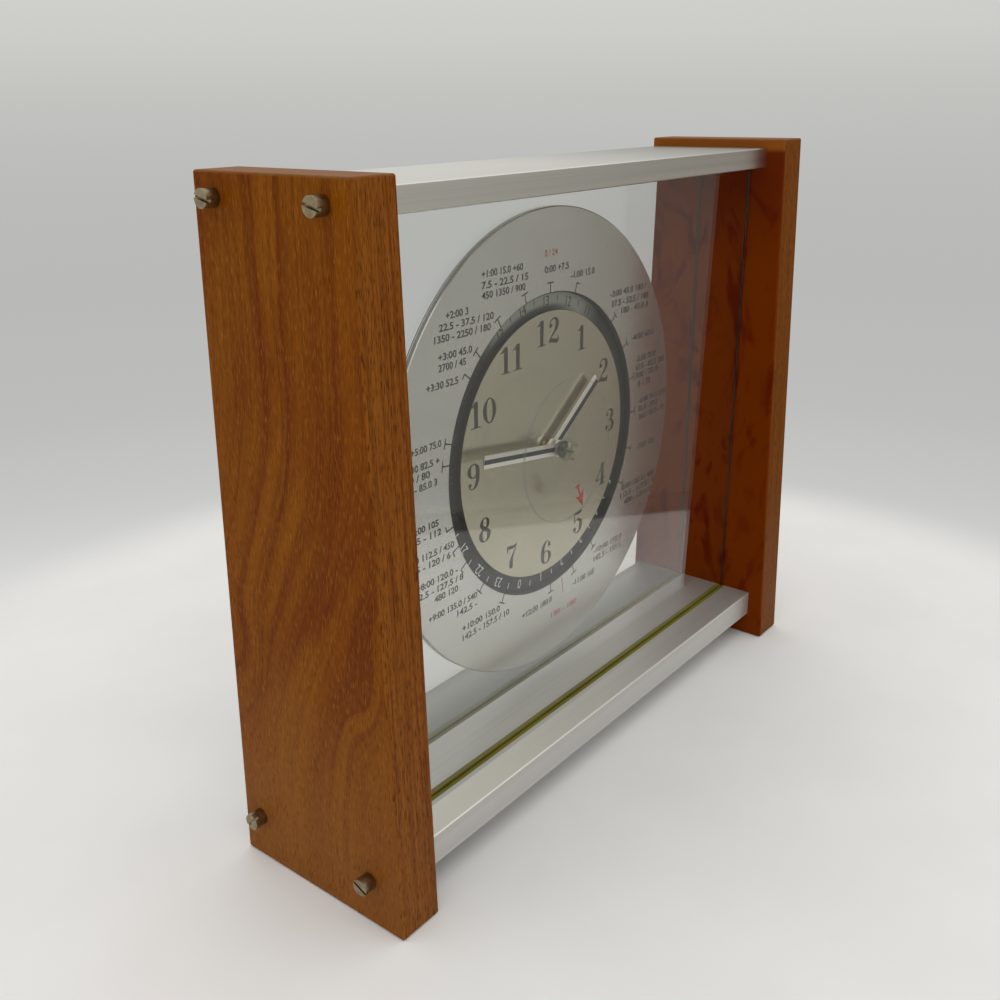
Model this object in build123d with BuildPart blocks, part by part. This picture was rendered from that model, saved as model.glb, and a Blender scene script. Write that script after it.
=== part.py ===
# World time clock: two wooden side panels, two aluminium plates, two panes of glass between them,
# a time zone disc with a turning 24 hour ring, and a battery movement behind it.
#
# Millimetres. X runs along the clock's width, Y from its front to its back, Z up.
# The origin is the middle of the footprint, on the table.

from build123d import *
import math
import os

os.makedirs("parts", exist_ok=True)

# Case: driving dimensions
overall_height = 200.0
panel_thickness = 14.5
panel_depth_bottom = 64.5
panel_front_rake = 6.2
panel_rear_rake = 3.7
panel_edge_radius = 0.7
plate_length = 205.2
top_plate_thickness = 7.0
top_plate_drop = 3.1
top_plate_front_reach = 5.8
bottom_plate_thickness = 9.8
bottom_plate_top_z = 18.8
bottom_plate_front_reach = 12.3
bottom_plate_rear_setback = 2.3
top_plate_rear_setback = 5.6
plate_edge_chamfer = 0.3

# Glass and the strips that hold it
glass_forward_shift = 1.9
glass_thickness = 2.0
glass_side_gap = 0.3
channel_width = 5.0
channel_lip = 1.2
channel_height = 2.9
channel_floor = 0.7

# Panel screws
screw_radius = 1.4
screw_head_radius = 2.45
screw_head_height = 4.0
screw_slot_width = 0.8
screw_slot_depth = 1.2
screw_rise = 0.3
screw_bite = 12.0
screw_hole_extra_depth = 1.0
screw_hole_gap = 0.05
panel_hole_gap = 0.2
top_screw_glass_gap = 3.6
top_screw_rear_setback = 11.3
bottom_screw_glass_gap = 6.7
bottom_screw_rear_setback = 7.5
left_slot_angles = (15, 14, 25, 133)
right_slot_angles = (20, 75, 130, 165)

# Dial: gaps to the plates, radii, and depths behind the front glass's outer face
disc_low_gap = 5.7
disc_top_gap = 6.8
hub_depth = 9.1
hub_length = 4.5
hub_radius = 3.0
hub_flange_radius = 3.6
hub_flange_thickness = 0.4
seconds_disc_depth = 10.8
seconds_disc_thickness = 0.8
seconds_disc_radius = 24.8
minute_hand_depth = 14.6
hour_hand_depth = 17.0
hand_thickness = 0.4
hand_width = 4.2
minute_hand_length = 41.0
hour_hand_length = 31.6
hand_boss_radius = 2.9
minute_boss_length = 0.8
hour_boss_length = 1.0
minute_angle = 278.2
hour_angle = 54.2
zone_disc_depth = 19.2
zone_disc_thickness = 2.1
opening_share = 51.8 / 79.3
zone_edge_chamfer = 0.3
inner_dial_depth = 19.7
ring_view_width = 5.8
inner_dial_thickness = 1.0
inner_dial_wall = 1.2
inner_dial_hole_radius = 2.1
hour_ring_depth = 21.6
hour_ring_thickness = 1.0
ring_hidden_width = 1.2
ring_side_gap = 0.8
face_gap = 0.3

# Movement case
flange_reach = 10.2
flange_thickness = 1.5
cup_step = 1.0
case_wall = 1.2
cup_base_depth = 26.5
box_half = 28.0
box_corner_radius = 3.6
box_rear_depth = 42.6
cover_thickness = 1.2
fixing_reach = 6.5
fixing_radius = 1.0
fixing_head_radius = 1.9
fixing_head_height = 1.3
fixing_bite = 1.3
fixing_count = 4
fixing_start_angle = 45.0
bay_top = 12.2
cover_split_gap = 0.3
post_radius = 2.2
post_top_offset = 23.6
post_low_x = 24.8
post_low_z = -8.4
post_hole_radius = 0.85
post_hole_depth = 8.0
cover_screw_radius = 0.8
cover_screw_head_radius = 1.7
cover_screw_head_height = 1.0
cover_screw_bite = 6.0
cover_hole_radius = 1.0
cover_leg_x = 14.0
cover_leg_width = 6.0
cover_leg_thickness = 0.8
cover_leg_length = 1.2
cover_leg_gap = 0.25
cover_rib_count = 5
cover_rib_pitch = 2.0
cover_rib_width = 0.8
cover_rib_height = 0.4
cover_rib_length = 12.0

# Centre stack radii, from the middle outwards, each turning inside the next
arbor_radius = 0.5
running_gap = 0.08
cannon_radius = 1.0
hour_pipe_radius = 1.6
post_tube_radius = 2.6
bush_radius = 4.2
post_flange_radius = 12.0
collar_radius = 3.9
collar_thickness = 0.5
nut_across_flats = 8.0
nut_thickness = 1.4
cannon_front_depth = 14.4
cannon_rear_depth = 36.0
arbor_front_depth = 9.6

# Movement plates and pillars
front_plate_depth = 29.4
plate_thickness = 0.8
rear_plate_depth = 40.6
plate_half_width = 20.5
plate_bottom = -10.2
plate_top = 26.0
plate_corner_radius = 2.5
pillar_radius = 2.0
pillar_spigot_radius = 1.3
pillar_places = ((-17.2, 23.8), (17.2, 23.8), (-17.2, -8.0))

# Gear trains: tooth counts, modules, axes (x and height above the dial centre) and depths
motion_distance = 12.5
cannon_teeth = 12
minute_wheel_teeth = 36
minute_pinion_teeth = 10
hour_wheel_teeth = 40
day_pinion_teeth = 8
day_wheel_teeth = 64
set_pinion_teeth = 12
minute_axis_angle = 120.0
set_axis_angle = 110.0
seconds_wheel_teeth = 60
seconds_pinion_teeth = 8
third_wheel_teeth = 64
third_pinion_teeth = 8
centre_wheel_teeth = 60
step_wheel_teeth = 50
step_pinion_teeth = 10
rotor_pinion_teeth = 10
third_distance = 9.0
step_distance = 8.75
rotor_distance = 9.0
third_axis_angle = 180.0
step_axis_angle = 20.0
rotor_axis_angle = 35.0
wheel_thickness = 0.7
day_wheel_depth = 23.1
day_pinion_depth = 22.9
day_pinion_length = 1.4
hour_wheel_depth = 30.6
minute_pinion_depth = 30.4
minute_pinion_length = 1.2
cannon_pinion_depth = 32.4
cannon_pinion_length = 1.5
minute_wheel_depth = 32.7
minute_arbor_radius = 0.75
centre_wheel_depth = 34.8
centre_hub_radius = 3.0
centre_hub_depth = 34.6
centre_hub_length = 1.0
clutch_radius = 2.8
clutch_sheet = 0.15
clutch_rise = 0.35
third_pinion_depth = 34.5
third_pinion_length = 1.1
third_wheel_depth = 36.5
third_stud_radius = 0.35
third_hub_radius = 1.1
seconds_pinion_depth = 36.3
seconds_pinion_length = 1.1
seconds_wheel_depth = 37.9
seconds_wheel_hub_radius = 1.3
seconds_wheel_hub_length = 1.1
step_pinion_depth = 37.7
step_pinion_length = 1.1
step_wheel_depth = 39.2
step_stud_radius = 0.4
step_hub_radius = 1.3
stud_head_radius = 0.8
stud_head_length = 0.3
end_gap = 0.2
rotor_pinion_depth = 39.0
rotor_pinion_length = 1.1
magnet_depth = 35.5
magnet_length = 3.1
magnet_radius = 3.0
rotor_arbor_radius = 0.4
set_arbor_radius = 1.0
set_pivot_radius = 0.6
set_knob_radius = 5.5
set_knob_length = 1.6
set_knob_flutes = 24
set_knob_flute_radius = 0.35
set_cover_hole_radius = 1.4

# Tooth shape, as shares of the module
wheel_tooth_width_share = 1.3
wheel_addendum_share = 1.0
wheel_dedendum_share = 1.2
pinion_tooth_width_share = 1.1
pinion_addendum_share = 0.6
pinion_dedendum_share = 1.5
tooth_tip_shares = (0.45, 0.8, 1.0)
tooth_roundness = 1.6

# Coil, rotor iron, circuit and battery
yoke_depth = 36.6
yoke_thickness = 0.8
yoke_ring_radius = 5.6
yoke_hole_radius = 3.5
yoke_leg_width = 3.0
yoke_left_x = 6.5
yoke_right_x = 20.5
coil_z = 18.0
core_height = 2.0
bobbin_start_x = 8.3
bobbin_length = 8.9
bobbin_flange = 0.8
bobbin_flange_radius = 3.4
bobbin_tube_radius = 1.4
winding_radius = 2.9
coil_screw_radius = 0.6
coil_screw_head_radius = 1.2
coil_screw_head_height = 0.8
board_left = 11.4
board_right = 20.4
board_bottom = -10.2
board_top = 3.0
board_thickness = 1.0
chip_x = 15.0
chip_z = -5.5
chip_radius = 2.2
chip_height = 0.8
crystal_x = 18.3
crystal_bottom = -3.5
crystal_radius = 1.0
crystal_length = 6.0
cell_radius = 7.1
cell_length = 49.2
cell_nub_radius = 2.7
cell_nub_length = 1.0
cell_gap = 0.3
contact_thickness = 0.4
contact_low_gap = 2.6
contact_button_radius = 2.0
contact_arm_width = 3.0

# Worked out from the driving dimensions
panel_front_y = -panel_depth_bottom / 2
panel_rear_y = panel_depth_bottom / 2
panel_inner_x = plate_length / 2
rear_pane_depth = zone_disc_depth + zone_disc_thickness
pane_rear_depth = rear_pane_depth + glass_thickness
glass_setback = (panel_depth_bottom - pane_rear_depth) / 2 - glass_forward_shift
glass_front_y = panel_front_y + glass_setback
top_plate_front_setback = glass_setback - top_plate_front_reach
bottom_plate_front_setback = glass_setback - bottom_plate_front_reach
top_screw_front_setback = glass_setback - top_screw_glass_gap
bottom_screw_front_setback = glass_setback - bottom_screw_glass_gap
panel_outer_x = panel_inner_x + panel_thickness
top_plate_top_z = overall_height - top_plate_drop
top_plate_low_z = top_plate_top_z - top_plate_thickness
bottom_plate_low_z = bottom_plate_top_z - bottom_plate_thickness
clear_height = top_plate_low_z - bottom_plate_top_z
zone_disc_radius = (clear_height - disc_low_gap - disc_top_gap) / 2
dial_z = bottom_plate_top_z + disc_low_gap + zone_disc_radius
zone_opening_radius = zone_disc_radius * opening_share
inner_dial_radius = zone_opening_radius - ring_view_width
hour_ring_radius = zone_opening_radius + ring_hidden_width
pane_hole_radius = hour_ring_radius + ring_side_gap
cup_inner_radius = zone_opening_radius - cup_step
fixing_circle_radius = zone_opening_radius + fixing_reach
flange_radius = zone_opening_radius + flange_reach
top_screw_z = top_plate_low_z + top_plate_thickness / 2 + screw_rise
bottom_screw_z = bottom_plate_low_z + bottom_plate_thickness / 2 + screw_rise
flange_rear_depth = pane_rear_depth + flange_thickness
base_rear_depth = cup_base_depth + case_wall
cover_rear_depth = box_rear_depth + cover_thickness
box_inner = box_half - case_wall
plate_rear_end_depth = rear_plate_depth + plate_thickness
cell_depth = base_rear_depth + cell_gap + cell_radius
cell_height = -(box_inner + bay_top) / 2
contact_front = cell_depth - contact_arm_width / 2
wheel_module = 2 * motion_distance / (cannon_teeth + minute_wheel_teeth)
hour_module = 2 * motion_distance / (minute_pinion_teeth + hour_wheel_teeth)
day_module = 2 * motion_distance / (day_pinion_teeth + day_wheel_teeth)
seconds_module = 2 * third_distance / (seconds_pinion_teeth + third_wheel_teeth)
centre_module = 2 * third_distance / (third_pinion_teeth + centre_wheel_teeth)
step_module = 2 * step_distance / (step_pinion_teeth + seconds_wheel_teeth)
rotor_module = 2 * rotor_distance / (rotor_pinion_teeth + step_wheel_teeth)
along_y = (90, 0, 0)
along_x = (0, 90, 0)


def polar(centre, distance, angle):
    """The point at a distance and an angle, from +X towards +Z, from a centre (x, z)."""
    turn = math.radians(angle)
    return (centre[0] + distance * math.cos(turn), centre[1] + distance * math.sin(turn))


centre_axis = (0, 0)
minute_axis = polar(centre_axis, motion_distance, minute_axis_angle)
set_axis = polar(minute_axis, motion_distance, set_axis_angle)
third_axis = polar(centre_axis, third_distance, third_axis_angle)
step_axis = polar(centre_axis, step_distance, step_axis_angle)
rotor_axis = polar(step_axis, rotor_distance, rotor_axis_angle)
post_places = ((-post_top_offset, post_top_offset), (post_top_offset, post_top_offset),
               (-post_low_x, post_low_z), (post_low_x, post_low_z))


def at(depth):
    """The Y of a depth behind the front glass's outer face."""
    return glass_front_y + depth


def keep(piece, name):
    """Label a finished piece and write its STEP file."""
    piece.part.label = name
    export_step(piece.part, f"parts/{name}.step")


def facing(depth, place=centre_axis):
    """A sketch plane at a depth, seen from the front, with its origin on the axis at place."""
    origin = (place[0], at(depth), dial_z + place[1])
    return Plane(origin=origin, x_dir=(1, 0, 0), z_dir=(0, -1, 0))


def rod(place, radius, front, back, mode=Mode.ADD):
    """A round bar along Y between two depths; place is x and height above the dial's axis."""
    with Locations((place[0], at((front + back) / 2), dial_z + place[1])):
        Cylinder(radius, back - front, rotation=along_y, mode=mode)


def block(low, high, mode=Mode.ADD):
    """A box from its lowest corner to its highest, each given as (x, y, z)."""
    middle = tuple((a + b) / 2 for a, b in zip(low, high))
    with Locations(middle):
        Box(high[0] - low[0], high[1] - low[1], high[2] - low[2], mode=mode)


def movement_block(low, high, mode=Mode.ADD):
    """A box given as (x, depth, height above the dial's axis) corners."""
    block((low[0], at(low[1]), dial_z + low[2]), (high[0], at(high[1]), dial_z + high[2]), mode)


def tooth_points(teeth, module, width_share, addendum_share, dedendum_share, tooth_angle):
    """The outline of a clock gear: straight radial flanks below the pitch circle, rounded tips."""
    pitch = teeth * module / 2
    half = width_share * module / 2 / pitch
    tips = [(pitch + addendum_share * module * rise, half * math.sqrt(1 - rise ** tooth_roundness))
            for rise in tooth_tip_shares]
    flank = [(pitch - dedendum_share * module, half), (pitch, half)] + tips
    points = []
    for tooth in range(teeth):
        middle = math.radians(tooth_angle + 360 * tooth / teeth)
        outline = [(radius, -turn) for radius, turn in flank] + [(r, t) for r, t in flank[-2::-1]]
        points += [(r * math.cos(middle + t), r * math.sin(middle + t)) for r, t in outline]
    return points


def toothed(place, points, front, length):
    """A toothed plate from its outline, on the axis at place."""
    with BuildSketch(facing(front, place)) as outline:
        with BuildLine():
            Polyline(*points, close=True)
        make_face()
    extrude(outline.sketch, amount=-length)


def wheel(place, teeth, module, front, length, tooth_angle):
    """A gear wheel with a tooth centred at tooth_angle."""
    points = tooth_points(teeth, module, wheel_tooth_width_share, wheel_addendum_share,
                          wheel_dedendum_share, tooth_angle)
    toothed(place, points, front, length)


def pinion(place, teeth, module, front, length, mesh_angle):
    """A pinion with a gap centred at mesh_angle, where the wheel's tooth enters."""
    points = tooth_points(teeth, module, pinion_tooth_width_share, pinion_addendum_share,
                          pinion_dedendum_share, mesh_angle + 180 / teeth)
    toothed(place, points, front, length)


def make_side_panel(name, side):
    """A side panel: a board whose front and rear edges lean in towards the top."""
    outline = [(panel_front_y, 0), (panel_rear_y, 0),
               (panel_rear_y - panel_rear_rake, overall_height),
               (panel_front_y + panel_front_rake, overall_height)]
    inner = panel_inner_x if side > 0 else -panel_outer_x
    with BuildPart() as panel:
        with BuildSketch(Plane.YZ.offset(inner)):
            with BuildLine():
                Polyline(*outline, close=True)
            make_face()
        extrude(amount=panel_thickness)
        fillet(panel.edges().filter_by(GeomType.LINE), radius=panel_edge_radius)
        for y, z in panel_screw_places():
            with Locations((side * (panel_inner_x + panel_thickness / 2), y, z)):
                Cylinder(screw_radius + panel_hole_gap, panel_thickness, rotation=along_x,
                         mode=Mode.SUBTRACT)
    keep(panel, name)


def panel_screw_places():
    """The (y, z) of the four screws in each panel."""
    return ((panel_front_y + top_screw_front_setback, top_screw_z),
            (panel_rear_y - top_screw_rear_setback, top_screw_z),
            (panel_front_y + bottom_screw_front_setback, bottom_screw_z),
            (panel_rear_y - bottom_screw_rear_setback, bottom_screw_z))


def add_panel_screw(side, y, z, slot_angle):
    """A slotted cheese-head screw through a panel into a plate's end."""
    reach = panel_thickness + screw_bite
    shank_middle = side * (panel_outer_x - reach / 2)
    head_middle = side * (panel_outer_x + screw_head_height / 2)
    slot_middle = side * (panel_outer_x + screw_head_height - screw_slot_depth / 2)
    with Locations((shank_middle, y, z)):
        Cylinder(screw_radius, reach, rotation=along_x)
    with Locations((head_middle, y, z)):
        Cylinder(screw_head_radius, screw_head_height, rotation=along_x)
    with Locations(Location((slot_middle, y, z), (slot_angle, 0, 0))):
        Box(screw_slot_depth, 2 * screw_head_radius + screw_slot_width, screw_slot_width,
            mode=Mode.SUBTRACT)


def make_panel_screws():
    """The eight screws that hold the panels to the plates."""
    with BuildPart() as screws:
        for side, angles in ((-1, left_slot_angles), (1, right_slot_angles)):
            for (y, z), angle in zip(panel_screw_places(), angles):
                add_panel_screw(side, y, z, angle)
    keep(screws, "panel_screws")


def make_plate(name, front, rear, low, high, groove_low, groove_high, screw_z):
    """An aluminium plate with two grooves for the glass strips and four tapped end holes."""
    screw_ys = [y for y, z in panel_screw_places() if z == screw_z]
    with BuildPart() as plate:
        block((-panel_inner_x, front, low), (panel_inner_x, rear, high))
        chamfer(plate.edges().filter_by(Axis.X), length=plate_edge_chamfer)
        for depth in (0, rear_pane_depth):
            groove_front = at(depth) - channel_lip
            block((-panel_inner_x, groove_front, groove_low),
                  (panel_inner_x, groove_front + channel_width, groove_high), Mode.SUBTRACT)
        hole_depth = screw_bite + screw_hole_extra_depth
        for side in (-1, 1):
            for y in screw_ys:
                with Locations((side * (panel_inner_x - hole_depth / 2), y, screw_z)):
                    Cylinder(screw_radius + screw_hole_gap, hole_depth, rotation=along_x,
                             mode=Mode.SUBTRACT)
    keep(plate, name)


def make_plates():
    """The top plate, grooved underneath, and the bottom plate, grooved on top."""
    make_plate("top_plate", panel_front_y + top_plate_front_setback,
               panel_rear_y - top_plate_rear_setback, top_plate_low_z, top_plate_top_z,
               top_plate_low_z, top_plate_low_z + channel_height, top_screw_z)
    make_plate("bottom_plate", panel_front_y + bottom_plate_front_setback,
               panel_rear_y - bottom_plate_rear_setback, bottom_plate_low_z, bottom_plate_top_z,
               bottom_plate_top_z - channel_height, bottom_plate_top_z, bottom_screw_z)


def make_channel(name, depth, low, high, slot_low, slot_high):
    """A dark U-shaped strip that grips one edge of a pane in its groove."""
    front = at(depth) - channel_lip
    with BuildPart() as channel:
        block((-panel_inner_x, front, low), (panel_inner_x, front + channel_width, high))
        block((-panel_inner_x, at(depth), slot_low),
              (panel_inner_x, at(depth) + glass_thickness, slot_high), Mode.SUBTRACT)
    keep(channel, name)


def make_channels():
    """Four strips: top and bottom, for the front pane and the rear pane."""
    low_floor = bottom_plate_top_z - channel_height
    high_ceiling = top_plate_low_z + channel_height
    for pane, depth in (("front", 0), ("rear", rear_pane_depth)):
        make_channel(f"{pane}_glass_lower_channel", depth, low_floor, bottom_plate_top_z,
                     low_floor + channel_floor, bottom_plate_top_z)
        make_channel(f"{pane}_glass_upper_channel", depth, top_plate_low_z, high_ceiling,
                     top_plate_low_z, high_ceiling - channel_floor)


def add_pane(depth):
    """A glass pane from channel floor to channel floor."""
    half = panel_inner_x - glass_side_gap
    low = bottom_plate_top_z - channel_height + channel_floor
    high = top_plate_low_z + channel_height - channel_floor
    block((-half, at(depth), low), (half, at(depth) + glass_thickness, high))


def make_front_glass():
    """The plain front pane."""
    with BuildPart() as pane:
        add_pane(0)
    keep(pane, "front_glass")


def fixing_places():
    """The (x, height) of the screws that clamp the case, the rear pane and the disc together."""
    step = 360 / fixing_count
    return [polar(centre_axis, fixing_circle_radius, fixing_start_angle + step * index)
            for index in range(fixing_count)]


def make_rear_glass():
    """The rear pane, with a round hole for the 24 hour ring and four screw holes."""
    with BuildPart() as pane:
        add_pane(rear_pane_depth)
        rod(centre_axis, pane_hole_radius, rear_pane_depth, pane_rear_depth, Mode.SUBTRACT)
        for place in fixing_places():
            rod(place, fixing_radius + panel_hole_gap, rear_pane_depth, pane_rear_depth,
                Mode.SUBTRACT)
    keep(pane, "rear_glass")


def make_zone_disc():
    """The time zone disc: a thick metal ring on the front of the rear pane."""
    with BuildPart() as disc:
        rod(centre_axis, zone_disc_radius, zone_disc_depth, rear_pane_depth)
        rod(centre_axis, zone_opening_radius, zone_disc_depth, rear_pane_depth, Mode.SUBTRACT)
        front_edges = disc.edges().filter_by(GeomType.CIRCLE).group_by(Axis.Y)[0]
        chamfer(front_edges, length=zone_edge_chamfer)
        for place in fixing_places():
            rod(place, fixing_radius + screw_hole_gap, rear_pane_depth - fixing_bite,
                rear_pane_depth, Mode.SUBTRACT)
    keep(disc, "zone_disc")


def make_inner_dial():
    """The 12 hour dial: a shallow cup whose wall hides the ring's inner part."""
    rear = inner_dial_depth + inner_dial_thickness
    wall_rear = hour_ring_depth - face_gap
    with BuildPart() as dial:
        rod(centre_axis, inner_dial_radius, inner_dial_depth, wall_rear)
        rod(centre_axis, inner_dial_radius - inner_dial_wall, rear, wall_rear, Mode.SUBTRACT)
        rod(centre_axis, inner_dial_hole_radius, inner_dial_depth, rear, Mode.SUBTRACT)
    keep(dial, "inner_dial")


def make_dial_post():
    """The fixed post: a flange behind the inner dial on a tube that the 24 hour ring turns on."""
    front = inner_dial_depth + inner_dial_thickness
    flange_rear = hour_ring_depth - face_gap
    rear = base_rear_depth + nut_thickness
    with BuildPart() as post:
        rod(centre_axis, post_flange_radius, front, flange_rear)
        rod(centre_axis, post_tube_radius, flange_rear, rear)
        rod(centre_axis, hour_pipe_radius + running_gap, front, rear, Mode.SUBTRACT)
    keep(post, "dial_post")
    with BuildPart() as collar:
        rod(centre_axis, collar_radius, cup_base_depth - collar_thickness, cup_base_depth)
        rod(centre_axis, post_tube_radius, cup_base_depth - collar_thickness, cup_base_depth,
            Mode.SUBTRACT)
    keep(collar, "post_collar")
    with BuildPart() as nut:
        with BuildSketch(facing(base_rear_depth)):
            RegularPolygon(nut_across_flats / 2, 6, major_radius=False)
            Circle(post_tube_radius, mode=Mode.SUBTRACT)
        extrude(amount=-nut_thickness)
    keep(nut, "post_nut")


def add_case_box(low, high, front, back, half, corner, mode=Mode.ADD):
    """A box with rounded corners, square to the dial, cut off at heights low and high."""
    with BuildSketch(facing(front)) as outline:
        RectangleRounded(2 * half, 2 * half, corner)
        with Locations((0, (low + high) / 2)):
            Rectangle(2 * half, high - low, mode=Mode.INTERSECT)
    extrude(outline.sketch, amount=-(back - front), mode=mode)


def make_movement_case():
    """The plastic case: a flange on the rear pane, a shallow cup, and the movement's box."""
    with BuildPart() as case:
        rod(centre_axis, flange_radius, pane_rear_depth, flange_rear_depth)
        rod(centre_axis, cup_inner_radius + case_wall, pane_rear_depth, base_rear_depth)
        rod(centre_axis, cup_inner_radius, pane_rear_depth, cup_base_depth, Mode.SUBTRACT)
        add_case_box(-box_half, box_half, base_rear_depth, box_rear_depth, box_half,
                     box_corner_radius)
        add_case_box(-bay_top + case_wall, box_inner, base_rear_depth, box_rear_depth, box_inner,
                     box_corner_radius - case_wall, Mode.SUBTRACT)
        add_case_box(-box_inner, -bay_top, base_rear_depth, box_rear_depth, box_inner,
                     box_corner_radius - case_wall, Mode.SUBTRACT)
        for place in post_places:
            rod(place, post_radius, base_rear_depth, box_rear_depth)
            rod(place, post_hole_radius, box_rear_depth - post_hole_depth, box_rear_depth,
                Mode.SUBTRACT)
        for place in fixing_places():
            rod(place, fixing_radius + panel_hole_gap, pane_rear_depth, flange_rear_depth,
                Mode.SUBTRACT)
        rod(centre_axis, post_tube_radius, cup_base_depth, base_rear_depth, Mode.SUBTRACT)
        rod(minute_axis, minute_arbor_radius + running_gap, cup_base_depth, base_rear_depth,
            Mode.SUBTRACT)
        for side in (-1, 1):
            wall_x = side * (box_inner - contact_thickness / 2)
            movement_block((wall_x - contact_thickness / 2, contact_front, -bay_top),
                           (wall_x + contact_thickness / 2, contact_front + contact_arm_width,
                            -bay_top + case_wall), Mode.SUBTRACT)
    keep(case, "movement_case")


def make_case_screws():
    """Four screws through the flange and the rear pane into the disc."""
    with BuildPart() as screws:
        for place in fixing_places():
            rod(place, fixing_radius, rear_pane_depth - fixing_bite, flange_rear_depth)
            rod(place, fixing_head_radius, flange_rear_depth, flange_rear_depth + fixing_head_height)
    keep(screws, "case_screws")


def make_rear_cover():
    """The cover over the movement, with a hole for the set knob's arbor."""
    with BuildPart() as cover:
        add_case_box(-bay_top + cover_split_gap, box_half, box_rear_depth, cover_rear_depth,
                     box_half, box_corner_radius)
        for place in post_places:
            rod(place, cover_hole_radius, box_rear_depth, cover_rear_depth, Mode.SUBTRACT)
        rod(set_axis, set_cover_hole_radius, box_rear_depth, cover_rear_depth, Mode.SUBTRACT)
    keep(cover, "rear_cover")
    with BuildPart() as screws:
        for place in post_places:
            rod(place, cover_screw_radius, box_rear_depth - cover_screw_bite, cover_rear_depth)
            rod(place, cover_screw_head_radius, cover_rear_depth,
                cover_rear_depth + cover_screw_head_height)
    keep(screws, "cover_screws")


def make_battery_cover():
    """The lift-off cover over the battery, with two short legs and a ribbed grip."""
    leg_low = -box_inner + cover_leg_gap
    grip_z = -(box_half + bay_top) / 2
    with BuildPart() as cover:
        add_case_box(-box_half, -bay_top, box_rear_depth, cover_rear_depth, box_half,
                     box_corner_radius)
        for side in (-1, 1):
            middle = side * cover_leg_x
            movement_block((middle - cover_leg_width / 2, box_rear_depth - cover_leg_length, leg_low),
                           (middle + cover_leg_width / 2, box_rear_depth,
                            leg_low + cover_leg_thickness))
        for index in range(cover_rib_count):
            height = grip_z + (index - (cover_rib_count - 1) / 2) * cover_rib_pitch
            movement_block((-cover_rib_length / 2, cover_rear_depth, height - cover_rib_width / 2),
                           (cover_rib_length / 2, cover_rear_depth + cover_rib_height,
                            height + cover_rib_width / 2))
    keep(cover, "battery_cover")


def make_battery_cell():
    """The cell, lying along X in its bay, with its nub to the right."""
    half = (cell_length + cell_nub_length) / 2
    with BuildPart() as cell:
        with Locations((-half + cell_length / 2, at(cell_depth), dial_z + cell_height)):
            Cylinder(cell_radius, cell_length, rotation=along_x)
        with Locations((half - cell_nub_length / 2, at(cell_depth), dial_z + cell_height)):
            Cylinder(cell_nub_radius, cell_nub_length, rotation=along_x)
    keep(cell, "battery_cell")


def make_battery_contact(name, side, arm_end):
    """A contact strip on the bay's end wall, its button on the cell, its arm to the circuit."""
    half = (cell_length + cell_nub_length) / 2
    inner = box_inner - contact_thickness
    low = -box_inner + contact_low_gap
    arm_low = -bay_top + case_wall
    strip = sorted((side * inner, side * box_inner))
    arm = sorted((side * box_inner, arm_end))
    with BuildPart() as contact:
        movement_block((strip[0], contact_front, low),
                       (strip[1], contact_front + contact_arm_width, arm_low + contact_thickness))
        with Locations((side * (half + inner) / 2, at(cell_depth), dial_z + cell_height)):
            Cylinder(contact_button_radius, inner - half, rotation=along_x)
        movement_block((arm[0], contact_front, arm_low),
                       (arm[1], contact_front + contact_arm_width, arm_low + contact_thickness))
    keep(contact, name)


def make_movement_plate(name, front, holes):
    """A brass movement plate with bearing holes, each given as (place, radius)."""
    rear = front + plate_thickness
    with BuildPart() as plate:
        with BuildSketch(facing(front)) as outline:
            with Locations((0, (plate_bottom + plate_top) / 2)):
                RectangleRounded(2 * plate_half_width, plate_top - plate_bottom,
                                 plate_corner_radius)
        extrude(outline.sketch, amount=-plate_thickness)
        for place, radius in holes:
            rod(place, radius, front, rear, Mode.SUBTRACT)
        for place in pillar_places:
            rod(place, pillar_spigot_radius, front, rear, Mode.SUBTRACT)
    keep(plate, name)


def coil_screw_places():
    """The two screws that carry the coil and its iron."""
    return ((yoke_left_x, coil_z), (yoke_right_x - yoke_leg_width / 2, coil_z))


def make_movement_frame():
    """The two plates, their three pillars and the two fixed studs."""
    make_movement_plate("front_plate", front_plate_depth, (
        (centre_axis, hour_pipe_radius + running_gap),
        (minute_axis, minute_arbor_radius + running_gap),
        (set_axis, set_pivot_radius + running_gap),
        (rotor_axis, rotor_arbor_radius + running_gap)))
    make_movement_plate("rear_plate", rear_plate_depth, (
        (centre_axis, arbor_radius + running_gap),
        (minute_axis, minute_arbor_radius + running_gap),
        (set_axis, set_arbor_radius + running_gap),
        (rotor_axis, rotor_arbor_radius + running_gap),
        (third_axis, third_stud_radius),
        (step_axis, step_stud_radius),
        (coil_screw_places()[0], coil_screw_radius),
        (coil_screw_places()[1], coil_screw_radius)))
    with BuildPart() as pillars:
        for place in pillar_places:
            rod(place, pillar_spigot_radius, base_rear_depth, box_rear_depth)
            rod(place, pillar_radius, front_plate_depth + plate_thickness, rear_plate_depth)
    keep(pillars, "plate_pillars")
    make_stud("third_wheel_stud", third_axis, third_stud_radius, third_pinion_depth)
    make_stud("step_wheel_stud", step_axis, step_stud_radius, step_pinion_depth)


def make_stud(name, place, radius, hub_front):
    """A headed stud fixed in the rear plate, for a wheel that turns on it."""
    head_rear = hub_front - end_gap
    with BuildPart() as stud:
        rod(place, stud_head_radius, head_rear - stud_head_length, head_rear)
        rod(place, radius, head_rear, plate_rear_end_depth)
    keep(stud, name)


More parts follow.
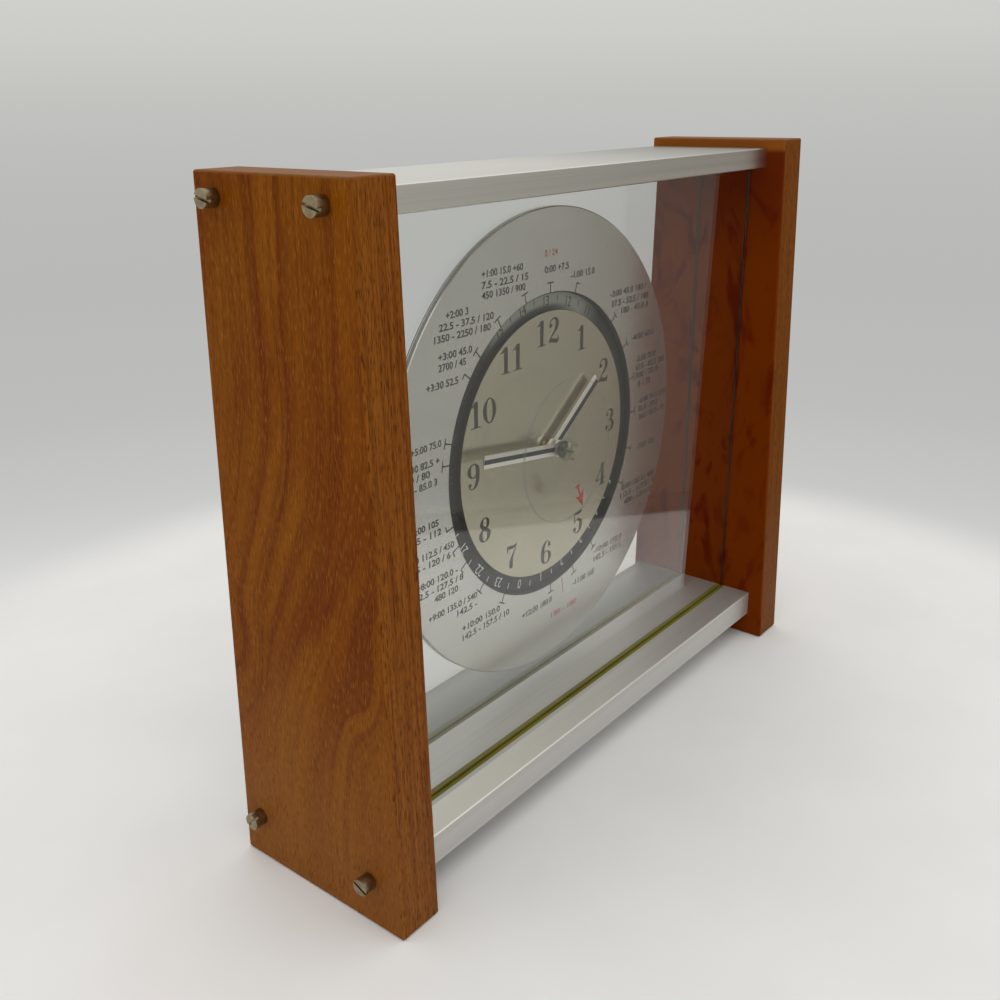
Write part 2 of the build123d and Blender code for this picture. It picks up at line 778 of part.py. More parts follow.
def make_hour_ring():
    """The 24 hour ring: a thin disc on a bush that turns on the dial post."""
    rear = hour_ring_depth + hour_ring_thickness
    bush_rear = cup_base_depth - collar_thickness - face_gap
    bore = post_tube_radius + running_gap
    with BuildPart() as ring:
        rod(centre_axis, hour_ring_radius, hour_ring_depth, rear)
        rod(centre_axis, bore, hour_ring_depth, rear, Mode.SUBTRACT)
        rod(centre_axis, bush_radius, hour_ring_depth, rear, Mode.SUBTRACT)
    keep(ring, "hour_ring")
    with BuildPart() as bush:
        rod(centre_axis, bush_radius, hour_ring_depth, bush_rear)
        rod(centre_axis, bore, hour_ring_depth, bush_rear, Mode.SUBTRACT)
    keep(bush, "hour_ring_bush")
    with BuildPart() as gear:
        wheel(centre_axis, day_wheel_teeth, day_module, day_wheel_depth, wheel_thickness,
              minute_axis_angle)
        rod(centre_axis, bush_radius, day_wheel_depth, day_wheel_depth + wheel_thickness,
            Mode.SUBTRACT)
    keep(gear, "day_wheel")


def make_hand(name, angle, length, front, bore, boss_length):
    """A baton hand: a flat bar with square ends on a round boss, pressed on its pipe."""
    boss_rear = front + boss_length
    with BuildPart() as hand:
        with BuildSketch(facing(front)) as outline:
            with Locations(Location((0, 0, 0), (0, 0, 90 - angle))):
                with Locations((length / 2, 0)):
                    Rectangle(length, hand_width)
        extrude(outline.sketch, amount=-hand_thickness)
        rod(centre_axis, hand_boss_radius, front, boss_rear)
        rod(centre_axis, bore, front, boss_rear, Mode.SUBTRACT)
    keep(hand, name)


def make_hour_wheel():
    """The hour hand, and the hour wheel with the pipe that carries the hand."""
    rear = hour_wheel_depth + wheel_thickness
    bore = cannon_radius + running_gap
    make_hand("hour_hand", hour_angle, hour_hand_length, hour_hand_depth, hour_pipe_radius,
              hour_boss_length)
    with BuildPart() as gear:
        wheel(centre_axis, hour_wheel_teeth, hour_module, hour_wheel_depth, wheel_thickness,
              minute_axis_angle)
        rod(centre_axis, hour_pipe_radius, hour_hand_depth, rear)
        rod(centre_axis, bore, hour_hand_depth, rear, Mode.SUBTRACT)
    keep(gear, "hour_wheel")


def make_cannon_pinion():
    """The minute hand, and the cannon pinion: a long pipe with a pinion near its rear end."""
    make_hand("minute_hand", minute_angle, minute_hand_length, minute_hand_depth, cannon_radius,
              minute_boss_length)
    pinion_rear = cannon_pinion_depth + cannon_pinion_length
    with BuildPart() as cannon:
        rod(centre_axis, cannon_radius, cannon_front_depth, cannon_rear_depth)
        pinion(centre_axis, cannon_teeth, wheel_module, cannon_pinion_depth,
               cannon_pinion_length, minute_axis_angle)
        rod(centre_axis, arbor_radius + running_gap, cannon_front_depth, cannon_rear_depth,
            Mode.SUBTRACT)
    keep(cannon, "cannon_pinion")
    with BuildPart() as spring:
        with BuildSketch(Plane(origin=(0, 0, dial_z), x_dir=(1, 0, 0), z_dir=(0, 0, 1))):
            with BuildLine():
                Polyline((cannon_radius, at(pinion_rear)),
                         (clutch_radius, at(pinion_rear + clutch_rise)),
                         (clutch_radius, at(pinion_rear + clutch_rise + clutch_sheet)),
                         (cannon_radius, at(pinion_rear + clutch_sheet)), close=True)
            make_face()
        revolve(axis=Axis((0, 0, dial_z), (0, 1, 0)))
    keep(spring, "clutch_spring")


def make_minute_wheel():
    """The minute wheel's arbor with its pinion, the wheel, and the pinion that turns the ring."""
    to_centre = minute_axis_angle + 180
    with BuildPart() as arbor:
        rod(minute_axis, minute_arbor_radius, day_pinion_depth, plate_rear_end_depth)
        pinion(minute_axis, minute_pinion_teeth, hour_module, minute_pinion_depth,
               minute_pinion_length, to_centre)
    keep(arbor, "minute_wheel_arbor")
    with BuildPart() as gear:
        wheel(minute_axis, minute_wheel_teeth, wheel_module, minute_wheel_depth, wheel_thickness,
              to_centre)
        rod(minute_axis, minute_arbor_radius, minute_wheel_depth,
            minute_wheel_depth + wheel_thickness, Mode.SUBTRACT)
    keep(gear, "minute_wheel")
    with BuildPart() as small:
        pinion(minute_axis, day_pinion_teeth, day_module, day_pinion_depth, day_pinion_length,
               to_centre)
        rod(minute_axis, minute_arbor_radius, day_pinion_depth,
            day_pinion_depth + day_pinion_length, Mode.SUBTRACT)
    keep(small, "day_pinion")


def set_mesh_angle():
    """The direction from the set axis in which its pinion has a gap for the minute wheel."""
    tooth_pitch = 360 / minute_wheel_teeth
    offset = (set_axis_angle - minute_axis_angle - 180) % tooth_pitch
    if offset > tooth_pitch / 2:
        offset -= tooth_pitch
    return set_axis_angle + 180 + offset * minute_wheel_teeth / set_pinion_teeth


def make_set_knob():
    """The set arbor with its pinion, and the fluted knob at the back."""
    knob_front = cover_rear_depth + face_gap
    knob_rear = knob_front + set_knob_length
    pivot_end = front_plate_depth + plate_thickness + end_gap
    with BuildPart() as arbor:
        rod(set_axis, set_pivot_radius, front_plate_depth, pivot_end)
        rod(set_axis, set_arbor_radius, pivot_end, knob_rear)
        pinion(set_axis, set_pinion_teeth, wheel_module, cannon_pinion_depth,
               cannon_pinion_length, set_mesh_angle())
    keep(arbor, "set_arbor")
    with BuildPart() as knob:
        rod(set_axis, set_knob_radius, knob_front, knob_rear)
        for index in range(set_knob_flutes):
            rod(polar(set_axis, set_knob_radius, 360 * index / set_knob_flutes),
                set_knob_flute_radius, knob_front, knob_rear, Mode.SUBTRACT)
        rod(set_axis, set_arbor_radius, knob_front, knob_rear, Mode.SUBTRACT)
    keep(knob, "set_knob")


def make_seconds():
    """The seconds arbor with its pinion and wheel, and the clear disc on its hub."""
    hub_rear = hub_depth + hub_length
    disc_rear = seconds_disc_depth + seconds_disc_thickness
    with BuildPart() as arbor:
        rod(centre_axis, arbor_radius, arbor_front_depth, plate_rear_end_depth)
        pinion(centre_axis, seconds_pinion_teeth, seconds_module, seconds_pinion_depth,
               seconds_pinion_length, third_axis_angle)
    keep(arbor, "seconds_arbor")
    with BuildPart() as gear:
        wheel(centre_axis, seconds_wheel_teeth, step_module, seconds_wheel_depth, wheel_thickness,
              step_axis_angle)
        rod(centre_axis, seconds_wheel_hub_radius, seconds_wheel_depth,
            seconds_wheel_depth + seconds_wheel_hub_length)
        rod(centre_axis, arbor_radius, seconds_wheel_depth,
            seconds_wheel_depth + seconds_wheel_hub_length, Mode.SUBTRACT)
    keep(gear, "seconds_wheel")
    with BuildPart() as hub:
        rod(centre_axis, hub_radius, hub_depth, hub_rear)
        rod(centre_axis, hub_flange_radius, disc_rear, disc_rear + hub_flange_thickness)
        rod(centre_axis, arbor_radius, arbor_front_depth, hub_rear, Mode.SUBTRACT)
    keep(hub, "seconds_hub")
    with BuildPart() as disc:
        rod(centre_axis, seconds_disc_radius, seconds_disc_depth, disc_rear)
        rod(centre_axis, hub_radius, seconds_disc_depth, disc_rear, Mode.SUBTRACT)
    keep(disc, "seconds_disc")


def make_centre_wheel():
    """The centre wheel, which turns on the cannon's rear end against the clutch spring."""
    bore = cannon_radius + running_gap
    hub_rear = centre_hub_depth + centre_hub_length
    with BuildPart() as gear:
        wheel(centre_axis, centre_wheel_teeth, centre_module, centre_wheel_depth, wheel_thickness,
              third_axis_angle)
        rod(centre_axis, centre_hub_radius, centre_hub_depth, hub_rear)
        rod(centre_axis, bore, centre_hub_depth, hub_rear, Mode.SUBTRACT)
    keep(gear, "centre_wheel")


def make_third_wheel():
    """The third wheel and its pinion, on a fixed stud."""
    bore = third_stud_radius + running_gap
    rear = rear_plate_depth - end_gap
    with BuildPart() as gear:
        wheel(third_axis, third_wheel_teeth, seconds_module, third_wheel_depth, wheel_thickness,
              third_axis_angle + 180)
        pinion(third_axis, third_pinion_teeth, centre_module, third_pinion_depth,
               third_pinion_length, third_axis_angle + 180)
        rod(third_axis, third_hub_radius, third_pinion_depth + third_pinion_length, rear)
        rod(third_axis, bore, third_pinion_depth, rear, Mode.SUBTRACT)
    keep(gear, "third_wheel")


def make_step_wheel():
    """The first reduction wheel and its pinion, on a fixed stud."""
    bore = step_stud_radius + running_gap
    rear = rear_plate_depth - end_gap
    with BuildPart() as gear:
        wheel(step_axis, step_wheel_teeth, rotor_module, step_wheel_depth, wheel_thickness,
              rotor_axis_angle)
        pinion(step_axis, step_pinion_teeth, step_module, step_pinion_depth, step_pinion_length,
               step_axis_angle + 180)
        rod(step_axis, step_hub_radius, step_pinion_depth + step_pinion_length, rear)
        rod(step_axis, bore, step_pinion_depth, rear, Mode.SUBTRACT)
    keep(gear, "step_wheel")


def make_rotor():
    """The motor's rotor: a round magnet and its pinion on a thin arbor."""
    with BuildPart() as arbor:
        rod(rotor_axis, rotor_arbor_radius, front_plate_depth, plate_rear_end_depth)
        pinion(rotor_axis, rotor_pinion_teeth, rotor_module, rotor_pinion_depth,
               rotor_pinion_length, rotor_axis_angle + 180)
    keep(arbor, "rotor_arbor")
    with BuildPart() as magnet:
        rod(rotor_axis, magnet_radius, magnet_depth, magnet_depth + magnet_length)
        rod(rotor_axis, rotor_arbor_radius, magnet_depth, magnet_depth + magnet_length,
            Mode.SUBTRACT)
    keep(magnet, "rotor_magnet")


def make_stator():
    """The flat iron around the rotor, and the core bar that carries the coil."""
    yoke_rear = yoke_depth + yoke_thickness
    leg_top = coil_z + core_height / 2
    half_leg = yoke_leg_width / 2
    with BuildPart() as yoke:
        rod(rotor_axis, yoke_ring_radius, yoke_depth, yoke_rear)
        movement_block((yoke_left_x - half_leg, yoke_depth, rotor_axis[1] - half_leg),
                       (rotor_axis[0], yoke_rear, rotor_axis[1] + half_leg))
        movement_block((yoke_left_x - half_leg, yoke_depth, rotor_axis[1]),
                       (yoke_left_x + half_leg, yoke_rear, leg_top))
        movement_block((yoke_right_x - yoke_leg_width, yoke_depth, rotor_axis[1]),
                       (yoke_right_x, yoke_rear, leg_top))
        rod(rotor_axis, yoke_hole_radius, yoke_depth, yoke_rear, Mode.SUBTRACT)
        for place in coil_screw_places():
            rod(place, coil_screw_radius, yoke_depth, yoke_rear, Mode.SUBTRACT)
    keep(yoke, "stator_yoke")
    with BuildPart() as core:
        movement_block((yoke_left_x - half_leg, yoke_depth - yoke_thickness, leg_top - core_height),
                       (yoke_right_x, yoke_depth, leg_top))
        for place in coil_screw_places():
            rod(place, coil_screw_radius, yoke_depth - yoke_thickness, yoke_depth, Mode.SUBTRACT)
    keep(core, "coil_core")


def add_coil_round(start, length, radius, mode=Mode.ADD):
    """A round piece about the coil's axis, from x = start."""
    middle = yoke_depth - yoke_thickness / 2
    with Locations((start + length / 2, at(middle), dial_z + coil_z)):
        Cylinder(radius, length, rotation=along_x, mode=mode)


def make_coil():
    """The bobbin, its winding, and the two screws with spacers that hold the iron."""
    front = yoke_depth - yoke_thickness
    winding_start = bobbin_start_x + bobbin_flange
    winding_length = bobbin_length - 2 * bobbin_flange
    with BuildPart() as bobbin:
        add_coil_round(bobbin_start_x, bobbin_length, bobbin_tube_radius)
        add_coil_round(bobbin_start_x, bobbin_flange, bobbin_flange_radius)
        add_coil_round(bobbin_start_x + bobbin_length - bobbin_flange, bobbin_flange,
                       bobbin_flange_radius)
        movement_block((bobbin_start_x, front, coil_z - core_height / 2),
                       (bobbin_start_x + bobbin_length, yoke_depth, coil_z + core_height / 2),
                       Mode.SUBTRACT)
    keep(bobbin, "coil_bobbin")
    with BuildPart() as winding:
        add_coil_round(winding_start, winding_length, winding_radius)
        add_coil_round(winding_start, winding_length, bobbin_tube_radius, Mode.SUBTRACT)
    keep(winding, "coil_winding")
    with BuildPart() as screws:
        for place in coil_screw_places():
            rod(place, coil_screw_head_radius, front - coil_screw_head_height, front)
            rod(place, coil_screw_radius, front, plate_rear_end_depth)
            rod(place, coil_screw_head_radius, yoke_depth + yoke_thickness, rear_plate_depth)
    keep(screws, "coil_screws")


def make_circuit():
    """The circuit board on the front plate, with its chip and its crystal."""
    front = front_plate_depth + plate_thickness
    rear = front + board_thickness
    with BuildPart() as board:
        movement_block((board_left, front, board_bottom), (board_right, rear, board_top))
    keep(board, "circuit_board")
    with BuildPart() as chip:
        rod((chip_x, chip_z), chip_radius, rear, rear + chip_height)
    keep(chip, "clock_chip")
    with BuildPart() as crystal:
        with Locations((crystal_x, at(rear + crystal_radius),
                        dial_z + crystal_bottom + crystal_length / 2)):
            Cylinder(crystal_radius, crystal_length)
    keep(crystal, "quartz_crystal")


for panel_name, panel_side in (("left_side_panel", -1), ("right_side_panel", 1)):
    make_side_panel(panel_name, panel_side)
make_panel_screws()
make_plates()
make_channels()
make_front_glass()
make_rear_glass()
make_zone_disc()
make_inner_dial()
make_dial_post()
make_movement_case()
make_case_screws()
make_rear_cover()
make_battery_cover()
make_battery_cell()
make_battery_contact("battery_contact_plus", 1, board_left)
make_battery_contact("battery_contact_minus", -1, board_left)
make_movement_frame()
make_hour_ring()
make_hour_wheel()
make_cannon_pinion()
make_minute_wheel()
make_set_knob()
make_seconds()
make_centre_wheel()
make_third_wheel()
make_step_wheel()
make_rotor()
make_stator()
make_coil()
make_circuit()
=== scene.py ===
# %% [markdown]
# # A world time clock, dressed for the camera
# The clock's shapes come ready made, as solids of real size. This lesson gives them their
# finishes: grained wood, brushed aluminium, glass, printed numbers. It starts by loading the
# solids. Their places are fixed, so whatever is added later is measured from them.

import math

import bmesh
import bpy
import numpy as np
from mathutils import Matrix, Vector, geometry


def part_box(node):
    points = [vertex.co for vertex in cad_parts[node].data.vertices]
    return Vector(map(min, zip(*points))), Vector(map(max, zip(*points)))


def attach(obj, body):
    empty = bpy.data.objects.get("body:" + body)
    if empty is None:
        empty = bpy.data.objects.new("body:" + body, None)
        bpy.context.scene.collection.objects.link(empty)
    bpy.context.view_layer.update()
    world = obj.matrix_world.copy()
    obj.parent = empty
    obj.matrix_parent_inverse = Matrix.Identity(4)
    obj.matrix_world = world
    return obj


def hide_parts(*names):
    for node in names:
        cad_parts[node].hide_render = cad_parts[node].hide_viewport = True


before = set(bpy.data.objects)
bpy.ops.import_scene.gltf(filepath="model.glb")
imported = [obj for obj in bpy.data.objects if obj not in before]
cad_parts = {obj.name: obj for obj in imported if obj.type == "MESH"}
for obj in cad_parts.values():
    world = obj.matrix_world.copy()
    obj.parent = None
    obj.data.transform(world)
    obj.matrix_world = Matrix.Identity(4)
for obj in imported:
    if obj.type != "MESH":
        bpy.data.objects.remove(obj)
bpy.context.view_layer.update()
MM = 0.001
FRONT_GLASS_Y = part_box("front_glass")[0].y
disc_low, disc_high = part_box("zone_disc")
DIAL_Z = (disc_low.z + disc_high.z) / 2
print("nodes:", len(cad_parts), "dial centre height in mm:", round(DIAL_Z / MM, 3))

# %% [markdown]
# ## The camera
# The photograph looks at the clock from its front left and from above. Its place was worked out
# from the straight edges of the case and the circle of the disc. A camera's matrix holds three
# directions as columns, right, up and backward, and then its place.

# %% Set the camera
EYE = (-0.28234125, -0.19571082, 0.21565939)
RIGHT = (0.63030566, -0.77625976, -0.01164277)
UP = (0.2642505, 0.20041589, 0.94340084)
AHEAD = (0.72999072, 0.5977075, -0.3314503)
lens = bpy.data.cameras.new("camera")
lens.lens, lens.sensor_width = 38.50921, 36.0
lens.shift_x, lens.shift_y = 0.02130918, -0.02681792
camera = bpy.data.objects.new("camera", lens)
bpy.context.scene.collection.objects.link(camera)
backward = [-a for a in AHEAD]
columns = [list(RIGHT) + [0], list(UP) + [0], backward + [0], list(EYE) + [1]]
camera.matrix_world = Matrix(columns).transposed()
bpy.context.scene.camera = camera
bpy.context.scene.view_settings.view_transform = "Standard"
print("camera distance to the dial in mm:",
      round((Vector(EYE) - Vector((0, FRONT_GLASS_Y, DIAL_Z))).length / MM))

# %% [markdown]
# ## Writing shader maths as Python
# A material in Blender is a net of small nodes. Wiring each one by hand hides the idea behind
# it, so one class, Wire, stands for an output socket and lets + - * lay the Math nodes. The
# class Finish holds one material and has a single method that makes any other node.

# %% Wires and finishes
class Wire:
    """One output socket. Arithmetic on it adds Math nodes to its finish."""

    def __init__(self, finish, socket):
        self.finish, self.socket = finish, socket

    def math(self, operation, *values):
        inputs = dict(enumerate((self,) + values))
        return self.finish.node("Math", {"operation": operation}, inputs)

    def __add__(self, other):
        return self.math("ADD", other)

    __radd__ = __add__

    def __mul__(self, other):
        return self.math("MULTIPLY", other)

    def __sub__(self, other):
        return self.math("SUBTRACT", other)

    def __rsub__(self, other):
        return (self * -1.0) + other

    def __pow__(self, other):
        return self.math("POWER", other)

    def ramp(self, low, high):
        """0 up to low, 1 from high on, and a smooth step between them."""
        inputs = {0: self, 1: low, 2: high}
        return self.finish.node("MapRange", {"interpolation_type": "SMOOTHSTEP"}, inputs)

    def larger(self, other):
        return self.math("MAXIMUM", other)

    def smaller(self, other):
        return self.math("MINIMUM", other)

    def size(self):
        return self.math("ABSOLUTE")


class Finish:
    """One node material with a Principled shader."""

    def __init__(self, name, world=None):
        holder = world or bpy.data.materials.new(name)
        holder.use_nodes = True
        self.material, self.tree = holder, holder.node_tree
        self.tree.nodes.clear()
        self.end = self.tree.nodes.new("ShaderNodeOutputWorld" if world
                                       else "ShaderNodeOutputMaterial")

    def node(self, kind, settings=None, inputs=None, out=0):
        """Any node: its type, its settings, and values or wires for its sockets."""
        made = self.tree.nodes.new("ShaderNode" + kind)
        for key, value in (settings or {}).items():
            setattr(made, key, value)
        for key, value in (inputs or {}).items():
            if isinstance(value, Wire):
                self.tree.links.new(value.socket, made.inputs[key])
            else:
                made.inputs[key].default_value = value
        return Wire(self, made.outputs[out])

    def place(self, scale=(1, 1, 1), shift=(0, 0, 0)):
        """The point on the piece in millimetres, moved by shift, then stretched by scale."""
        point = self.node("TexCoord", out="Object")
        in_mm = self.node("Mapping", {}, {"Vector": point, "Scale": (1 / MM,) * 3})
        moved = self.node("VectorMath", {"operation": "ADD"}, {0: in_mm, 1: shift})
        return self.node("VectorMath", {"operation": "MULTIPLY"}, {0: moved, 1: scale})

    def parts(self, vector):
        """The x, y and z of a vector as three wires."""
        split = self.node("SeparateXYZ", {}, {0: vector})
        outputs = split.socket.node.outputs
        return [Wire(self, outputs[i]) for i in range(3)]

    def noise(self, vector, detail=2.0, rough=0.5, twist=0.0):
        """Cloudy noise with one bump to each unit of the vector, about 0.25 to 0.75."""
        return self.node("TexNoise", {}, {"Vector": vector, "Scale": 1.0, "Detail": detail,
                                          "Roughness": rough, "Distortion": twist})

    def blend(self, amount, first, second):
        """A colour between first and second, through a Mix node."""
        return self.node("Mix", {"data_type": "RGBA"}, {0: amount, 6: first, 7: second}, out=2)

    def bump(self, height, depth_mm, strength=1.0):
        return self.node("Bump", {}, {"Height": height, "Distance": depth_mm * MM,
                                      "Strength": strength})

    def surface(self, shader):
        self.tree.links.new(shader.socket, self.end.inputs["Surface"])
        return self.material

    def principled(self, **inputs):
        named = {key.replace("_", " "): value for key, value in inputs.items()}
        return self.node("BsdfPrincipled", {}, named)

    def close(self, **inputs):
        """The finished material, with one Principled shader of these inputs."""
        return self.surface(self.principled(**inputs))

    def round_dial(self):
        """The x, y and z of the point in mm, with the height counted from the dial's centre."""
        return self.parts(self.place(shift=(0, 0, -DIAL_Z / MM)))


def colour(red, green, blue):
    """A colour given as it looks on a screen, 0 to 255, made linear for Blender."""
    share = np.array([red, green, blue]) / 255.0
    linear = np.where(share > 0.04045, ((share + 0.055) / 1.055) ** 2.4, share / 12.92)
    return tuple(linear.tolist()) + (1.0,)


def dress(material, *names):
    """Give solids of the clock a finish. Only their material slots are touched."""
    for name in names:
        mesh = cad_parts[name].data
        mesh.materials.clear()
        mesh.materials.append(material)


print("helpers ready: Wire, Finish, colour, dress")

# %% [markdown]
# ## Table, backdrop and light
# Satin metal and glass show mostly what stands around them, so the room matters as much as the
# finish. In the photograph the clock stands on a white table whose edge runs close to its right,
# with a pale backdrop behind it and a darker, warm room in front. One could model walls. Here a
# round table fades out into the world, and the world's colour depends on the direction of the
# ray: the camera and glass see the backdrop, mirror rays see the room, and all other rays see an
# even light. The dark room beyond the table's edge is seen by mirror rays alone.

# %% Light the room
world = bpy.data.worlds.new("room")
bpy.context.scene.world = world
room = Finish("room", world)
ray = room.node("LightPath").socket.node.outputs
camera_ray = Wire(room, ray["Is Camera Ray"])
glossy_ray = Wire(room, ray["Is Glossy Ray"])
clear_ray = Wire(room, ray["Is Transmission Ray"])
heading = room.parts(room.node("TexCoord", out="Generated"))
BACKDROP = [(-0.70, 221, 219, 216), (-0.43, 216, 215, 213), (-0.395, 219, 218, 216),
            (-0.36, 207, 207, 205), (-0.33, 199, 199, 197), (-0.26, 189, 189, 188),
            (-0.16, 185, 185, 184), (-0.10, 186, 186, 184), (-0.05, 189, 189, 187),
            (0.0, 194, 194, 191), (0.05, 204, 204, 200), (0.12, 212, 212, 208)]
RAMP_SHIFT = 0.75  # brings the lowest height of a stop above zero
ramp = room.node("ValToRGB", {}, {0: heading[2] + RAMP_SHIFT})
stops = ramp.socket.node.color_ramp.elements
while len(stops) < len(BACKDROP):
    stops.new(0.5)
for stop, (height, *shade) in zip(stops, BACKDROP):
    stop.position, stop.color = height + RAMP_SHIFT, colour(*shade)
TO_EDGE = (0.62, -0.78)  # across the table to its near edge, at the clock's right front
front = (heading[1] * TO_EDGE[1] + heading[0] * TO_EDGE[0]).ramp(-0.25, 0.75)
lift = heading[2].ramp(0.02, 0.5)
straight = (heading[1] * -1.0).ramp(0.40, 0.68)
facing = room.blend(straight, (0.20, 0.182, 0.152, 1), (0.43, 0.42, 0.39, 1))
behind = room.blend(heading[0].ramp(0.74, 0.92), (0.64, 0.63, 0.605, 1), (0.44, 0.43, 0.41, 1))
side = room.blend(front, behind, facing)
mirror = room.blend(lift, side, (0.90, 0.89, 0.86, 1))
through = clear_ray * heading[1].ramp(-0.02, 0.02)
seen = room.blend(glossy_ray * (1.0 - through), ramp, mirror)
direct = (camera_ray + glossy_ray + clear_ray).smaller(1.0)
even = room.blend(direct, (0.62, 0.62, 0.61, 1), seen)
room.surface(room.node("Background", {}, {"Color": even}))

lamp = bpy.data.lights.new("ceiling_light", "AREA")
lamp.shape, lamp.size, lamp.size_y, lamp.energy = "RECTANGLE", 1.4, 1.4, 5.6
lamp.color = (1.0, 0.99, 0.965)
ceiling = bpy.data.objects.new("ceiling_light", lamp)
ceiling.location = (-0.15, -0.1, 1.15)
ceiling.visible_glossy = False
bpy.context.scene.collection.objects.link(ceiling)
print("backdrop stops:", len(BACKDROP), "lamp in W:", lamp.energy)

# %% [markdown]
# ## The table top
# A surface of its own is needed under the clock, because it takes the soft shadow at the clock's
# feet. It could be one large square, but its far edge would show as a line. A disc that turns
# clear towards its rim, for the camera alone, lets table and backdrop run into each other.

# %% Lay the table
def surface_mesh(name, points, faces, material, smooth=True):
    """A mesh from an array of points in metres and a list or array of faces."""
    mesh = bpy.data.meshes.new(name)
    corners = faces.tolist() if isinstance(faces, np.ndarray) else faces
    mesh.from_pydata(np.asarray(points).tolist(), [], corners)
    mesh.update()
    mesh.polygons.foreach_set("use_smooth", [smooth] * len(mesh.polygons))
    mesh.materials.append(material)
    piece = bpy.data.objects.new(name, mesh)
    bpy.context.scene.collection.objects.link(piece)
    return piece


def grid_faces(rows, columns, closed=False):
    """Quads between the rows and columns of a grid of points, wrapped round if closed."""
    row = np.arange(rows - 1)[:, None]
    column = np.arange(columns if closed else columns - 1)[None, :]
    after = (column + 1) % columns
    corners = [row * columns + column, row * columns + after,
               (row + 1) * columns + after, (row + 1) * columns + column]
    return np.stack(np.broadcast_arrays(*corners), -1).reshape(-1, 4)


UNDER_FEET = 0.0002


def table_top(radius=0.85, rings=24, spokes=96):
    """A flat round grid: x = r cos t, y = r sin t, with r growing as the square of its step."""
    reach = radius * np.linspace(0.02, 1, rings) ** 2
    turn = np.linspace(0, 2 * np.pi, spokes, endpoint=False)
    flat = np.stack([reach[:, None] * np.cos(turn), reach[:, None] * np.sin(turn),
                     np.full((rings, spokes), -UNDER_FEET)], -1).reshape(-1, 3)
    middle = np.arange(spokes)[::-1]
    faces = grid_faces(rings, spokes, closed=True)[:, ::-1].tolist() + [middle.tolist()]
    return flat, faces


DIM, SHADED, EDGE = (110.0, 190.0), (200.0, 206.0), (225.0, 235.0)  # mm towards the near edge
CLEAR = (236.0, 300.0)  # mm from the middle, all round
white = Finish("table_white")
rays = white.node("LightPath").socket.node.outputs
mirror_ray = Wire(white, rays["Is Glossy Ray"])
open_ray = (Wire(white, rays["Is Camera Ray"])
            + Wire(white, rays["Is Transmission Ray"])).smaller(1)
spot = white.parts(white.place())
radius = (spot[0] * spot[0] + spot[1] * spot[1]) ** 0.5
mottle = white.noise(white.place((0.02, 0.02, 0.02)), 3.0)
paper_and_painted_shade = white.blend(mottle.ramp(0.3, 0.7), (0.90, 0.893, 0.882, 1), (0.925, 0.92, 0.91, 1))
away = spot[0] * TO_EDGE[0] + spot[1] * TO_EDGE[1]
# For mirror rays alone the paper is painted dimmer, then dark, towards the near edge: painted shade
# of the table's edge, seen in reflections.
paper_and_painted_shade = white.blend(away.ramp(*DIM) * mirror_ray * 0.35, paper_and_painted_shade, (0.42, 0.40, 0.35, 1))
paper_and_painted_shade = white.blend(away.ramp(*SHADED) * mirror_ray, paper_and_painted_shade, (0.22, 0.21, 0.19, 1))
matt = white.principled(Base_Color=paper_and_painted_shade, Roughness=0.75, Specular_IOR_Level=0.1)
gone = white.node("BsdfTransparent")
edge = away.ramp(*EDGE) * mirror_ray
faded = (radius.ramp(*CLEAR) * open_ray + edge).smaller(1.0)
top = white.surface(white.node("MixShader", {}, {0: faded, 1: matt, 2: gone}))
points, faces = table_top()
table = surface_mesh("table_top", points, faces, top)
print("table points:", len(points))

# %% [markdown]
# ## Wood
# The side panels are oiled wood of warm orange brown, grain upright. Close up three things
# show: broad darker bands where the growth rings meet the face, slanting streaks, and masses of
# short thin flecks, the cut pores, that catch the light golden on the flat and look dark on the
# end edges. Each is the same cloudy noise stretched by other amounts, so no image is needed.
# The pattern reads the point in the block itself, so faces meet at the edges as real wood does.

# %% Grain the panels
def knot(finish, y, z, centre, size, stretch=1.7):
    """1 at a knot's centre, falling smoothly to 0 at its rim, taller than wide."""
    across, up = (y - centre[0]) * stretch, z - centre[1]
    return 1.0 - ((across * across + up * up) ** 0.5).ramp(0.0, size)


HALF_DEPTH, FRONT_LEAN, REAR_LEAN = 32.25, 0.031, 0.0185
INNER_FACE, PANEL_TOP = 102.9, 199.2


